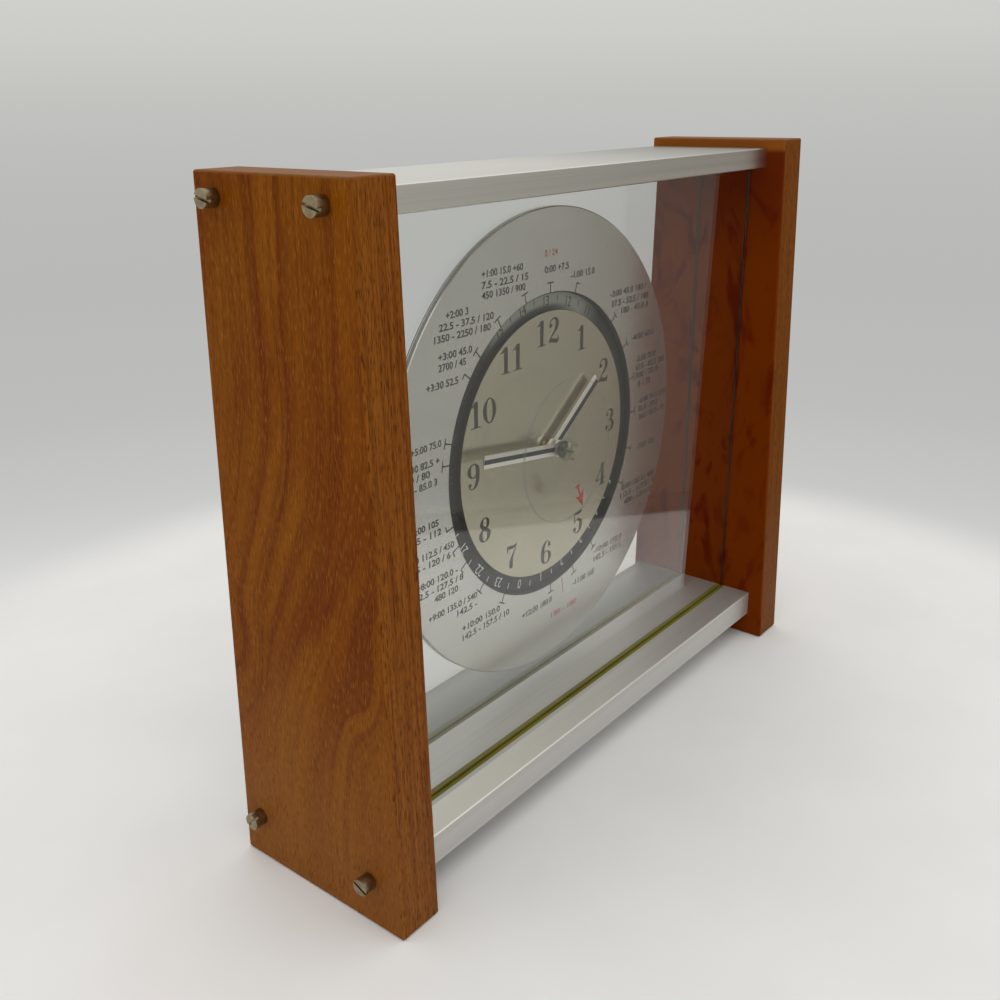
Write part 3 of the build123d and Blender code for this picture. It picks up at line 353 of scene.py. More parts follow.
def wood_finish():
    """Wood whose face, end edges, inner face and top each have their own tint of one grain.

    The end edges are where the depth to the front or rear slope, 32.25 - |y| less the height
    times the lean, goes to nothing. Lower down, the face and end edges carry painted light; the
    inner face carries painted shade and painted reflections in dark reds.
    """
    wood = Finish("oiled_wood")
    x, y, z = wood.parts(wood.place())

    def cloud(line, fine, tall, detail=3.0, rough=0.5, offset=0.0):
        point = wood.node("CombineXYZ", {}, {0: line * fine + offset, 1: x * fine, 2: z * tall})
        return wood.noise(point, detail, rough)

    warp = wood.noise(wood.place((0.05, 0.05, 0.014)), 3.0) * 8.0
    hump = knot(wood, y, z, (26.0, 66.0), 26.0) * 9.0 + knot(wood, y, z, (-24.0, 72.0), 24.0) * 8.0
    line = y + z.ramp(25.0, 150.0) * 36.0 + warp + hump
    base = wood.blend(cloud(line, 0.06, 0.012).ramp(0.35, 0.65), colour(118, 58, 0),
                      colour(134, 76, 2))
    base = wood.blend(cloud(line, 0.17, 0.004, 4.0, 0.6).ramp(0.47, 0.68) * 0.75, base,
                      colour(96, 34, 0))
    base = wood.blend(cloud(line, 0.8, 0.012, 3.0, 0.6, 9.0).ramp(0.45, 0.75) * 0.5, base,
                      colour(88, 36, 0))
    blotch = cloud(line, 0.05, 0.028, 4.0, 0.6, 40.0).ramp(0.53, 0.74)
    base = wood.blend(blotch * 0.5, base, colour(98, 30, 0))
    # Painted light: the face is lighter low down, as if the white table lit it.
    low = 1.0 - (z + warp * 4.0).ramp(30.0, 105.0)
    base = wood.blend(low * 0.55, base, colour(142, 92, 44))
    flecks = cloud(y, 4.2, 0.36, 1.0, 0.4, 3.0)
    shades = cloud(y, 3.0, 0.42, 1.0, 0.4, 17.0)
    base = wood.blend(flecks.ramp(0.52, 0.78) * 0.5, base, colour(176, 112, 40))
    base = wood.blend(shades.ramp(0.54, 0.78) * 0.5, base, colour(78, 34, 4))

    slope_front = y + HALF_DEPTH - z * FRONT_LEAN
    slope_rear = HALF_DEPTH - z * REAR_LEAN - y
    edge = 1.0 - slope_front.smaller(slope_rear).ramp(0.55, 0.9)
    dashes = wood.noise(wood.place((4.4, 0.6, 0.34), shift=(3, 0, 0)), 1.0, 0.5)
    long_lines = wood.noise(wood.place((1.1, 0.1, 0.018), shift=(9, 4, 0)), 3.0, 0.6)
    side = wood.blend(long_lines.ramp(0.35, 0.68), colour(142, 82, 22), colour(112, 56, 12))
    # Painted light: the end edges are lighter low down too.
    side = wood.blend(low * 0.35, side, colour(140, 92, 48))
    side = wood.blend(x.ramp(95.0, 100.0) * 0.6, side, colour(118, 62, 0))
    side = wood.blend(dashes.ramp(0.50, 0.66) * 0.7, side, colour(66, 30, 2))
    base = wood.blend(edge, base, side)

    # Painted shade and painted reflections on the inner faces: dark reds, lighter in front of the
    # front glass, darker towards the top, lighter again at the top edge.
    swirl = wood.noise(wood.place((0.3, 0.075, 0.035), shift=(0, 3, 1)), 3.0, 0.55, 1.6)
    inside = 1.0 - x.size().ramp(INNER_FACE, INNER_FACE + 0.4)
    painted_inner_shading = wood.blend(swirl.ramp(0.34, 0.50), colour(86, 13, 0), colour(114, 46, 0))
    painted_light_ahead = 1.0 - y.ramp(FRONT_GLASS_Y / MM - 0.5, FRONT_GLASS_Y / MM)
    painted_inner_shading = wood.blend(painted_light_ahead * 0.3, painted_inner_shading, colour(128, 52, 0))
    painted_inner_shading = wood.blend(z.ramp(150.0, 190.0) * 0.5, painted_inner_shading, colour(74, 8, 3))
    painted_inner_shading = wood.blend(z.ramp(195.0, 197.0), painted_inner_shading, colour(140, 78, 24))
    base = wood.blend(inside, base, painted_inner_shading)
    top = z.ramp(PANEL_TOP, PANEL_TOP + 0.6)
    end_grain = wood.blend(wood.noise(wood.place((1.2, 0.35, 1.0)), 3.0, 0.6),
                           colour(104, 58, 20), colour(142, 92, 46))
    base = wood.blend(top, base, end_grain)
    rough = shades.ramp(0.5, 0.8) * 0.15 + (0.46 - inside * 0.16)
    relief = flecks * 0.3 - dashes.ramp(0.54, 0.66) * edge
    return wood.close(Base_Color=base, Roughness=rough, Specular_IOR_Level=0.045,
                      Normal=wood.bump(relief, 0.04, 0.5))


wood = wood_finish()
dress(wood, "left_side_panel", "right_side_panel")
print("panels grained")

# %% [markdown]
# ## Brushed aluminium plates
# The top and bottom plates are milled bars, brushed along their length. Brushing leaves lines
# far finer than a pixel, which widen a reflection across them, with a few coarser scratches
# and pale nicks on top. A metal's colour is its reflection, so the finish is a grey metal
# whose roughness and relief are noise stretched a hundredfold along the clock's width.

# %% Brush the plates
REAR_GLASS_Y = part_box("rear_glass")[1].y / MM
PLATE_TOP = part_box("bottom_plate")[1].z / MM
TOP_PLATE_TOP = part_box("top_plate")[1].z / MM


ALONG_WIDTH = (0.004, 3.0, 3.0)


def brushed(name, tint, rough, sheen=1.0, wear_and_painted_light=False):
    """Brushed metal. A plate marked for it carries a painted reflection, pale at its front left,
    and painted shade behind the rear glass; the other has painted shade towards the right on its
    upper face."""
    metal = Finish(name)
    lines = metal.noise(metal.place(ALONG_WIDTH), 4.0, 0.7)
    broad = metal.noise(metal.place(tuple(0.12 * a for a in ALONG_WIDTH)), 3.0, 0.6)
    specks = metal.noise(metal.place((0.8, 1.6, 1.6), shift=(4, 4, 4)), 2.0, 0.6)
    nick = specks.ramp(0.70, 0.76) * 0.35
    dark = tuple(0.86 * c for c in tint[:3]) + (1.0,)
    base = metal.blend((lines * 0.6 + broad * 0.4).ramp(0.32, 0.68), dark, tint)
    base = metal.blend(nick, base, (0.93, 0.92, 0.88, 1))
    x, y, z = metal.parts(metal.place())
    if wear_and_painted_light:
        # Painted shade: darker behind the rear glass, easing a little further back.
        painted_shade_behind_glass = y.ramp(REAR_GLASS_Y - 1.0, REAR_GLASS_Y) * (1.0 - y.ramp(
            REAR_GLASS_Y + 1.0, REAR_GLASS_Y + 16.0) * 0.4)
        base = metal.blend(painted_shade_behind_glass, base, (0.17, 0.18, 0.165, 1))
        # Painted reflection: the upper face in front of the front glass is paler, most at its left.
        painted_light_ahead = 1.0 - y.ramp(FRONT_GLASS_Y / MM - 3.0, FRONT_GLASS_Y / MM - 2.5)
        painted_light_ahead = painted_light_ahead * z.ramp(PLATE_TOP - 0.4, PLATE_TOP - 0.2)
        base = metal.blend(painted_light_ahead * (0.95 - x.ramp(-100.0, 70.0) * 0.9), base,
                           (0.93, 0.91, 0.83, 1))
    else:
        # Painted shade: the upper face is darker towards its right end.
        upper = x.ramp(-30.0, 110.0) * z.ramp(TOP_PLATE_TOP - 0.4, TOP_PLATE_TOP - 0.2)
        base = metal.blend(upper * 0.9, base, (0.30, 0.30, 0.27, 1))
    roughness = lines * 0.22 + (rough - 0.11) + nick * 0.2
    return metal.close(Base_Color=base, Metallic=sheen, Roughness=roughness,
                       Normal=metal.bump(lines - nick * 0.8, 0.012, 0.5))


dress(brushed("brushed_top", (0.80, 0.79, 0.75, 1), rough=0.33), "top_plate")
dress(brushed("brushed_bottom", (0.66, 0.65, 0.62, 1), rough=0.46, sheen=0.7, wear_and_painted_light=True),
      "bottom_plate")
print("plates brushed")

# %% [markdown]
# ## Glass
# Both panes are clear float glass. True glass bends what stands behind it and mirrors the room
# more strongly at a slant, and the veil over the clock's right half is that mirror image. So the
# panes are real refracting shells. Light rays that only carry shadow pass straight through,
# as they nearly do in life, which keeps the dial behind the glass evenly lit.

# %% Glaze the panes
def glass_finish(name, tint, rough=0.0, index=1.5, ground_from=None, thin=0.0, rim_from=None,
                 root_from=None):
    """Clear glass, a share of it thin, so without bending. Sawn ends beyond ground_from, in mm
    from the middle, are dull and painted near black, as painted shade in their gaps against the
    panels. A round rim beyond the radius rim_from and a root behind the depth root_from are dull
    and dark."""
    glass = Finish(name)
    rays = glass.node("LightPath").socket.node.outputs
    shadow = Wire(glass, rays["Is Shadow Ray"]).larger(Wire(glass, rays["Is Diffuse Ray"]))
    body = {"Base_Color": tint, "Roughness": rough, "IOR": index, "Transmission_Weight": 1.0}
    x, y, z = glass.round_dial()
    if ground_from:
        dull = x.size().ramp(ground_from, ground_from + 0.1)
        # Painted shade: the sawn ends are near black, as in their gaps against the panels.
        shade, share = (0.012, 0.008, 0.004, 1), 0.97
    else:
        dull = ((x * x + z * z) ** 0.5).ramp(rim_from, rim_from + 0.2)
        shade, share = (0.34, 0.34, 0.32, 1), 0.3
    if root_from:
        dull = (dull * 0.6 + y.ramp(root_from, root_from + 0.2)).smaller(1.0)
        shade, share = (0.05, 0.045, 0.03, 1), 0.8
    passing = (0.99, 0.99, 0.985, 1) if thin else (0.94, 0.945, 0.94, 1)
    clear = glass.node("BsdfTransparent", {}, {0: passing})
    whole = glass.node("MixShader", {}, {0: shadow.larger(thin), 1: glass.principled(**body),
                                         2: clear})
    sawn_and_painted_shade = glass.principled(Base_Color=shade, Roughness=0.6, Specular_IOR_Level=0.1)
    return glass.surface(glass.node("MixShader", {}, {0: dull * share, 1: whole, 2: sawn_and_painted_shade}))


pane = glass_finish("float_glass", (0.965, 0.975, 0.965, 1), ground_from=102.15)
dress(pane, "front_glass", "rear_glass")
dress(glass_finish("clear_acrylic", (0.985, 0.985, 0.98, 1), index=1.0, thin=0.6,
                   rim_from=24.5), "seconds_disc")
dress(glass_finish("worn_acrylic", (0.86, 0.86, 0.83, 1), rough=0.25, index=1.2, thin=0.4,
                   rim_from=3.4, root_from=-0.5), "seconds_hub")
print("glass and clear plastic set")

# %% [markdown]
# ## Disc, dial, ring and hands
# The zone disc is satin silver metal and the inner dial a warmer champagne, both evenly blasted
# rather than brushed. The ring behind them is printed: a light half for the day, a dark half
# for the night, with painted shadow at its left and upper left. Its halves and that painted shadow
# turn with it, so its colour reads the angle round the dial's axis.
# The angle comes from the height and the width as an arctangent.

# %% Finish the dial's metals
def blasted(name, tint, rough, inner=None, outer=None, rim=None):
    """Evenly blasted metal. Its cut walls, inside the radius inner or beyond the radius outer,
    in mm, are dull and dark. A wall beyond the radius rim carries painted light: painted shade at
    its front, then a painted highlight, and a painted shadow line at its rear edge."""
    metal = Finish(name)
    grains = metal.noise(metal.place((4.0, 4.0, 4.0)), 2.0, 0.6)
    drift = metal.noise(metal.place((0.03, 0.03, 0.03)), 3.0)
    dark = tuple(0.92 * c for c in tint[:3]) + (1.0,)
    base = metal.blend((grains * 0.5 + drift * 0.5).ramp(0.3, 0.7), dark, tint)
    x, y, z = metal.round_dial()
    reach = (x * x + z * z) ** 0.5
    cut = 1.0 - reach.ramp(inner, inner + 0.06) if inner else reach.ramp(outer, outer + 0.06)
    base = metal.blend(cut, base, tuple(0.10 * c for c in tint[:3]) + (1.0,))
    if rim:
        # Painted shade, a painted highlight and a painted shadow line on the rim wall.
        wall, rear = reach.ramp(rim, rim + 0.05), disc_high.y / MM
        side = metal.blend(y.ramp(rear - 0.62, rear - 0.55), (0.22, 0.22, 0.20, 1),
                           (0.66, 0.66, 0.62, 1))
        side = metal.blend(y.ramp(rear - 0.34, rear - 0.28), side, (0.02, 0.02, 0.02, 1))
        base = metal.blend(wall, base, side)
    rough = grains * 0.06 + rough + cut * 0.45
    return metal.close(Base_Color=base, Metallic=0.93, Roughness=rough,
                       Normal=metal.bump(grains, 0.004, 0.15))


def hand_finish(name, clock_angle):
    """Satin silver pressed into a low roof along the hand, so one flank looks up."""
    metal = Finish(name)
    turn = math.radians(clock_angle)
    x, y, z = metal.round_dial()
    across = (x * math.cos(turn) - z * math.sin(turn)).size()
    grains = metal.noise(metal.place((1.5, 1.5, 1.5)), 3.0, 0.6)
    base = metal.blend(grains.ramp(0.35, 0.65), (0.80, 0.785, 0.73, 1), (0.88, 0.87, 0.82, 1))
    roof = across * -0.5 + grains * 0.02
    return metal.close(Base_Color=base, Metallic=0.8, Roughness=0.3,
                       Normal=metal.bump(roof, 0.34, 1.0))


def ring_finish():
    """The ring by the angle round the axis: printed day and night, darker towards the bottom, a
    painted shadow darkest at the left, and the painted shade that the disc throws on it at the
    upper left."""
    ring = Finish("printed_ring")
    x, y, z = ring.round_dial()
    angle = x.math("ARCTAN2", z)
    night = (angle + 0.02).size().ramp(0.40, 0.75)
    # Painted shadow of the disc, darkest at the left, and painted shade at the upper left, both
    # turning with the ring.
    painted_shadow_left = 1.0 - (angle + 1.76).size().ramp(0.16, 0.55)
    reach = (x * x + z * z) ** 0.5
    near = (1.0 - reach.ramp(46.6, 48.6)) * (1.0 - (angle + 0.85).size().ramp(0.9, 1.3))
    foot = (angle - 0.25).size().ramp(1.9, 2.6)
    grains = ring.noise(ring.place((3.0, 3.0, 3.0)), 2.0)
    base = ring.blend(night, colour(150, 152, 140), colour(38, 40, 37))
    base = ring.blend(foot, base, colour(34, 36, 33))
    base = ring.blend(painted_shadow_left, base, colour(10, 12, 11))
    base = ring.blend(near * 0.9, base, colour(30, 31, 28))
    base = ring.blend(grains * 0.12, base, colour(40, 40, 38))
    return ring.close(Base_Color=base, Roughness=0.42 + grains * 0.1, Metallic=0.2,
                      Normal=ring.bump(grains, 0.004, 0.3))


MINUTE_ANGLE, HOUR_ANGLE = 278.2, 54.2
dress(blasted("satin_silver", (0.74, 0.735, 0.70, 1), 0.22, inner=52.15, rim=79.2), "zone_disc")
dress(blasted("satin_champagne", (0.63, 0.59, 0.46, 1), 0.2, outer=45.86), "inner_dial")
dress(ring_finish(), "hour_ring")
dress(hand_finish("minute_silver", MINUTE_ANGLE), "minute_hand")
dress(hand_finish("hour_silver", HOUR_ANGLE), "hour_hand")
print("dial finished")

# %% [markdown]
# ## Strips, screws and the parts behind
# The strips that hold the glass are olive plastic. The movement at the back is black
# moulded plastic with a fine spark-eroded texture. Inside it are brass wheels, steel arbors,
# a copper coil and a green board. They show only when the case is opened, but each still has
# its own finish with a little wear in it, made by two short functions.

# %% Finish the small parts
def moulded(name, low, high, rough=0.5, grain=2.2, relief=0.03):
    plastic = Finish(name)
    pits = plastic.noise(plastic.place((grain,) * 3), 3.0, 0.6)
    drift = plastic.noise(plastic.place((0.06, 0.06, 0.06)), 2.0)
    base = plastic.blend(drift.ramp(0.3, 0.7), low, high)
    return plastic.close(Base_Color=base, Roughness=pits * 0.2 + (rough - 0.1),
                         Normal=plastic.bump(pits, relief, 0.6))


def turned(name, dull, bright, rough=0.3):
    metal = Finish(name)
    stain = metal.noise(metal.place((0.5, 0.5, 0.5)), 4.0, 0.65)
    lines = metal.noise(metal.place((5.0, 5.0, 5.0)), 2.0)
    base = metal.blend(stain.ramp(0.35, 0.65), dull, bright)
    return metal.close(Base_Color=base, Metallic=1.0, Roughness=stain * 0.25 + rough - 0.1,
                       Normal=metal.bump(lines, 0.006, 0.4))


METALS = [
    ("cut_brass", (0.50, 0.36, 0.15), (0.78, 0.60, 0.30), 0.3,
     "day_wheel dial_post post_collar post_nut front_plate rear_plate hour_wheel cannon_pinion "
     "minute_wheel day_pinion centre_wheel third_wheel seconds_wheel step_wheel"),
    ("turned_steel", (0.42, 0.42, 0.43), (0.66, 0.66, 0.66), 0.28,
     "case_screws cover_screws coil_screws minute_wheel_arbor set_arbor seconds_arbor "
     "rotor_arbor third_wheel_stud step_wheel_stud plate_pillars"),
    ("nickel_plate", (0.55, 0.54, 0.52), (0.78, 0.77, 0.74), 0.25,
     "battery_contact_plus battery_contact_minus clutch_spring quartz_crystal"),
    ("aged_nickel", (0.24, 0.19, 0.11), (0.35, 0.295, 0.185), 0.32, "panel_screws"),
    ("bare_iron", (0.20, 0.20, 0.21), (0.36, 0.36, 0.37), 0.45,
     "stator_yoke coil_core rotor_magnet"),
    ("coil_copper", (0.45, 0.17, 0.08), (0.75, 0.36, 0.20), 0.3, "coil_winding"),
]
PLASTICS = [
    ("black_case", (0.014, 0.014, 0.015), (0.024, 0.024, 0.026), 0.5,
     "movement_case rear_cover battery_cover hour_ring_bush"),
    ("black_knob", (0.018, 0.018, 0.018), (0.03, 0.03, 0.03), 0.4, "set_knob"),
    ("cell_jacket", (0.08, 0.09, 0.11), (0.12, 0.13, 0.15), 0.3, "battery_cell"),
    ("bobbin_nylon", (0.62, 0.60, 0.52), (0.70, 0.68, 0.60), 0.45, "coil_bobbin"),
    ("board_lacquer", (0.02, 0.11, 0.045), (0.03, 0.16, 0.06), 0.35, "circuit_board"),
    ("chip_resin", (0.012, 0.012, 0.012), (0.02, 0.02, 0.02), 0.35, "clock_chip"),
]
for make, table_of in ((turned, METALS), (moulded, PLASTICS)):
    for name, low, high, rough, nodes in table_of:
        dress(make(name, (*low, 1), (*high, 1), rough), *nodes.split())
STRIP_GRAIN = (1.2, 0.02)
dress(moulded("olive_strip", colour(84, 80, 22), colour(96, 92, 30), 0.55, *STRIP_GRAIN),
      "rear_glass_lower_channel", "rear_glass_upper_channel")
# Painted light: the front strips are a brighter olive than the rear ones, against the shade they
# sit in.
dress(moulded("olive_front_strip_painted_light", colour(112, 104, 6), colour(122, 114, 14), 0.7, *STRIP_GRAIN),
      "front_glass_lower_channel", "front_glass_upper_channel")


def softened(name, node, width_mm, material, body):
    """A copy of a solid with its doubles merged, its flat faces rejoined and its edges rounded."""
    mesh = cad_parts[node].data.copy()
    work = bmesh.new()
    work.from_mesh(mesh)
    bmesh.ops.remove_doubles(work, verts=work.verts[:], dist=1e-6)
    bmesh.ops.dissolve_limit(work, angle_limit=0.02, verts=work.verts[:], edges=work.edges[:])
    work.to_mesh(mesh)
    work.free()
    mesh.materials.clear()
    mesh.materials.append(material)
    piece = bpy.data.objects.new(name, mesh)
    bpy.context.scene.collection.objects.link(piece)
    rounding = piece.modifiers.new("rounding", "BEVEL")
    rounding.width, rounding.segments, rounding.limit_method = width_mm * MM, 3, "ANGLE"
    rounding.harden_normals = True
    mesh.polygons.foreach_set("use_smooth", [True] * len(mesh.polygons))
    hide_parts(node)
    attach(piece, body)
    return piece


screw = bpy.data.materials["aged_nickel"]
ROUNDING = 0.5
softened("rounded_screws", "panel_screws", ROUNDING, screw, "case")
bare = [name for name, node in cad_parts.items()
        if not (node.data.materials and node.data.materials[0].use_nodes)]
print("solids without a finish:", bare)

# %% [markdown]
# ## The numbers of the dial
# The twelve numbers are black, upright, with thick stems, thin hairlines and flat feet. The
# only typeface that comes with Blender has no feet, so each digit is drawn as a pen would:
# a stroke is a path with a width that swells and thins along it. The strokes overlap, and a
# triangulation of all their pieces at once melts them into one flat shape.

# %% Draw the digits
def stroke(path, widths, steps=10):
    """A pen stroke: a smooth curve through the points, as half width either side of it.

    Between two points the curve is the cubic p = ((-a+3b-3c+d)t^3 + (2a-5b+4c-d)t^2
    + (c-a)t + 2b) / 2 of the points before and after. The sides stand square to it.
    """
    row = np.column_stack([np.array(path, float), np.array(widths, float)])
    ends = np.vstack([2 * row[0] - row[1], row, 2 * row[-1] - row[-2]])
    t = np.linspace(0, 1, steps, endpoint=False)[None, :, None]
    a, b, c, d = (ends[i:len(ends) - 3 + i, None, :] for i in range(4))
    curve = ((-a + 3 * b - 3 * c + d) * t ** 3 + (2 * a - 5 * b + 4 * c - d) * t ** 2
             + (c - a) * t + 2 * b) / 2
    curve = np.vstack([curve.reshape(-1, 3), row[-1:]])
    run = np.gradient(curve[:, :2], axis=0)
    run /= np.linalg.norm(run, axis=1, keepdims=True) + 1e-12
    square = np.stack([-run[:, 1], run[:, 0]], -1) * curve[:, 2:3]
    left, right = curve[:, :2] + square, curve[:, :2] - square
    return np.stack([left[:-1], right[:-1], right[1:], left[1:]], 1)


def bar(x0, y0, x1, y1):
    """A plain upright rectangle as one piece of a stroke."""
    return np.array([[(x0, y0), (x1, y0), (x1, y1), (x0, y1)]], float)


def ring_stroke(cx, cy, rx, ry, side, top, steps=40):
    """An oval stroke: thick at its sides, thin at its top and bottom."""
    t = np.linspace(0, 2 * np.pi, steps + 1)
    half = top + (side - top) * np.cos(t) ** 2
    across = np.stack([np.cos(t) / rx, np.sin(t) / ry], -1)
    across /= np.linalg.norm(across, axis=1, keepdims=True)
    line = np.stack([cx + rx * np.cos(t), cy + ry * np.sin(t)], -1)
    out, inner = line + across * half[:, None], line - across * half[:, None]
    return np.stack([out[:-1], out[1:], inner[1:], inner[:-1]], 1)


def dot(cx, cy, r, steps=14):
    """A round blob, as a single many-sided piece."""
    t = np.linspace(0, 2 * np.pi, steps, endpoint=False)
    return np.stack([cx + r * np.cos(t), cy + r * np.sin(t)], -1)[None]


DIGITS = {
    "0": (0.66, [
        ring_stroke(0.33, 0.5, 0.235, 0.465, 0.09, 0.022)]),
    "1": (0.52, [
        bar(0.19, 0.0, 0.375, 1.0),
        bar(0.05, 0.0, 0.51, 0.045),
        stroke([(0.2, 0.9), (0.12, 0.835), (0.03, 0.815)], [0.055, 0.03, 0.022])]),
    "2": (0.64, [
        stroke([(0.13, 0.72), (0.12, 0.86), (0.28, 0.975), (0.47, 0.92), (0.52, 0.73),
                (0.43, 0.52), (0.22, 0.3), (0.075, 0.09)],
               [0.03, 0.022, 0.026, 0.065, 0.09, 0.06, 0.03, 0.035]),
        dot(0.155, 0.715, 0.085),
        stroke([(0.07, 0.085), (0.2, 0.135), (0.38, 0.085), (0.53, 0.075), (0.585, 0.24)],
               [0.06, 0.075, 0.085, 0.065, 0.018])]),
    "3": (0.64, [
        stroke([(0.14, 0.79), (0.15, 0.91), (0.29, 0.978), (0.44, 0.9), (0.46, 0.76), (0.39, 0.59),
                (0.25, 0.535)],
               [0.03, 0.022, 0.024, 0.065, 0.085, 0.055, 0.02]),
        stroke([(0.25, 0.535), (0.42, 0.48), (0.51, 0.29), (0.44, 0.09), (0.27, 0.022),
                (0.12, 0.09), (0.1, 0.21)],
               [0.02, 0.055, 0.09, 0.065, 0.024, 0.022, 0.03]),
        dot(0.155, 0.79, 0.078),
        dot(0.125, 0.215, 0.085)]),
    "4": (0.66, [
        bar(0.37, 0.0, 0.55, 1.0),
        bar(0.25, 0.0, 0.64, 0.042),
        bar(0.03, 0.235, 0.66, 0.285),
        stroke([(0.5, 0.985), (0.28, 0.62), (0.05, 0.262)], [0.03, 0.028, 0.026])]),
    "5": (0.62, [
        stroke([(0.12, 0.955), (0.28, 0.905), (0.48, 0.93), (0.53, 0.985)],
               [0.02, 0.07, 0.065, 0.012]),
        stroke([(0.125, 0.96), (0.115, 0.72), (0.1, 0.5)], [0.022, 0.02, 0.02]),
        stroke([(0.1, 0.5), (0.2, 0.595), (0.36, 0.6), (0.49, 0.47), (0.5, 0.28), (0.42, 0.09),
                (0.26, 0.022), (0.12, 0.09), (0.095, 0.2)],
               [0.02, 0.022, 0.045, 0.085, 0.095, 0.065, 0.024, 0.022, 0.03]),
        dot(0.12, 0.205, 0.085)]),
    "6": (0.65, [
        ring_stroke(0.335, 0.29, 0.205, 0.262, 0.085, 0.022),
        stroke([(0.535, 0.8), (0.5, 0.93), (0.38, 0.978), (0.24, 0.9), (0.145, 0.68),
                (0.125, 0.36), (0.15, 0.22)],
               [0.03, 0.022, 0.022, 0.06, 0.09, 0.09, 0.07]),
        dot(0.51, 0.8, 0.075)]),
    "7": (0.62, [
        stroke([(0.075, 0.8), (0.13, 0.93), (0.26, 0.9), (0.42, 0.89), (0.56, 0.965)],
               [0.016, 0.055, 0.075, 0.05, 0.02]),
        bar(0.055, 0.72, 0.09, 0.995),
        stroke([(0.57, 0.975), (0.47, 0.72), (0.34, 0.5), (0.27, 0.26), (0.27, 0.09)],
               [0.018, 0.022, 0.05, 0.09, 0.095]),
        dot(0.27, 0.095, 0.095)]),
    "8": (0.65, [
        ring_stroke(0.325, 0.755, 0.165, 0.222, 0.072, 0.022),
        ring_stroke(0.325, 0.275, 0.205, 0.252, 0.09, 0.024),
        stroke([(0.2, 0.66), (0.33, 0.535), (0.47, 0.42)], [0.05, 0.075, 0.06])]),
    "9": (0.65, [
        ring_stroke(0.315, 0.71, 0.205, 0.262, 0.085, 0.022),
        stroke([(0.115, 0.2), (0.15, 0.07), (0.27, 0.022), (0.41, 0.1), (0.505, 0.32),
                (0.525, 0.64), (0.5, 0.78)],
               [0.03, 0.022, 0.022, 0.06, 0.09, 0.09, 0.07]),
        dot(0.14, 0.2, 0.075)]),
}


def counter_clockwise(polygon):
    """The polygon with its corners in the order that makes its flat area positive."""
    x, y = polygon[:, 0], polygon[:, 1]
    area = np.sum(x * np.roll(y, -1) - np.roll(x, -1) * y)
    return polygon if area > 0 else polygon[::-1]


def melt(pieces):
    """All the pieces of a shape as one flat set of triangles, with no overlaps."""
    polygons = [counter_clockwise(polygon) for piece in pieces for polygon in piece]
    corners = [Vector(corner) for polygon in polygons for corner in polygon]
    faces, start = [], 0
    for polygon in polygons:
        faces.append(list(range(start, start + len(polygon))))
        start += len(polygon)
    cut = geometry.delaunay_2d_cdt(corners, [], faces, 1, 1e-5)
    points, triangles, sources = cut[0], cut[2], cut[5]
    inked = [list(triangle) for triangle, source in zip(triangles, sources) if len(source)]
    return np.array([tuple(point) for point in points]), np.array(inked)


def number_shape(digits, gap=0.12):
    """Digits side by side, one unit tall, centred on the origin."""
    points, faces, pen, start = [], [], 0.0, 0
    for digit in digits:
        width, pieces = DIGITS[digit]
        flat, triangles = melt(pieces)
        points.append(flat * (1.18, 1.0) + (pen, 0))
        faces.append(triangles + start)
        pen, start = pen + width * 1.18 + gap, start + len(flat)
    flat = np.vstack(points)
    return flat - ((flat.max(0) + flat.min(0)) / 2), np.vstack(faces)


print("digit 8 has", len(melt(DIGITS["8"][1])[1]), "triangles")

# %% [markdown]
# ## Printing on a surface
# Ink stands a few hundredths of a millimetre proud of what it is printed on. Flat shapes are
# therefore laid just above the metal, facing the front, and given that thickness. The same
# function prints dial numbers, ring numbers, ticks and stripes, each gathered into one mesh.

# %% Print the dial numbers
def facing_front(triangles, flat):
    """Turn every triangle so that it faces the front, by the sign of its flat area."""
    a, b, c = (flat[triangles[:, i]] for i in range(3))
    area = ((b[:, 0] - a[:, 0]) * (c[:, 1] - a[:, 1]) - (b[:, 1] - a[:, 1]) * (c[:, 0] - a[:, 0]))
    turned_round = triangles.copy()
    turned_round[area < 0] = triangles[area < 0][:, ::-1]
    return turned_round


def printed(name, shapes, face_y, material, body, ink=0.03, behind=False):
    """Lay flat shapes, in mm from the dial's centre, on the plane y = face_y, as thin ink. Shapes
    behind are drawn as they read from the back."""
    points, faces, start, side = [], [], 0, (-1 if behind else 1)
    for flat, triangles in shapes:
        triangles = facing_front(np.asarray(triangles), flat)
        y = np.full(len(flat), face_y - side * ink * MM)
        points.append(np.stack([side * flat[:, 0] * MM, y, flat[:, 1] * MM + DIAL_Z], -1))
        faces.append(triangles + start)
        start += len(flat)
    piece = surface_mesh(name, np.vstack(points), np.vstack(faces), material, smooth=False)
    wall = piece.modifiers.new("ink", "SOLIDIFY")
    wall.thickness, wall.offset = 2 * ink * MM, -1.0
    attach(piece, body)
    return piece


def ink_finish(name, tone, wear_and_painted_light, rough=0.45):
    ink = Finish(name)
    grain = ink.noise(ink.place((3.0, 3.0, 3.0)), 3.0, 0.6)
    base = ink.blend(grain.ramp(0.45, 0.75), tone, wear_and_painted_light)
    return ink.close(Base_Color=base, Roughness=grain * 0.2 + rough - 0.1)


black_ink = ink_finish("black_ink", (0.012, 0.011, 0.010, 1), (0.03, 0.028, 0.025, 1))
brown_ink = ink_finish("brown_ink", (0.035, 0.030, 0.022, 1), (0.055, 0.048, 0.036, 1))
dusk_ink = ink_finish("dusk_ink", (0.035, 0.036, 0.033, 1), (0.05, 0.05, 0.047, 1))
white_ink = ink_finish("white_ink", (0.74, 0.75, 0.74, 1), (0.66, 0.67, 0.66, 1))
red_ink = ink_finish("red_ink", colour(176, 42, 48), colour(158, 34, 40))

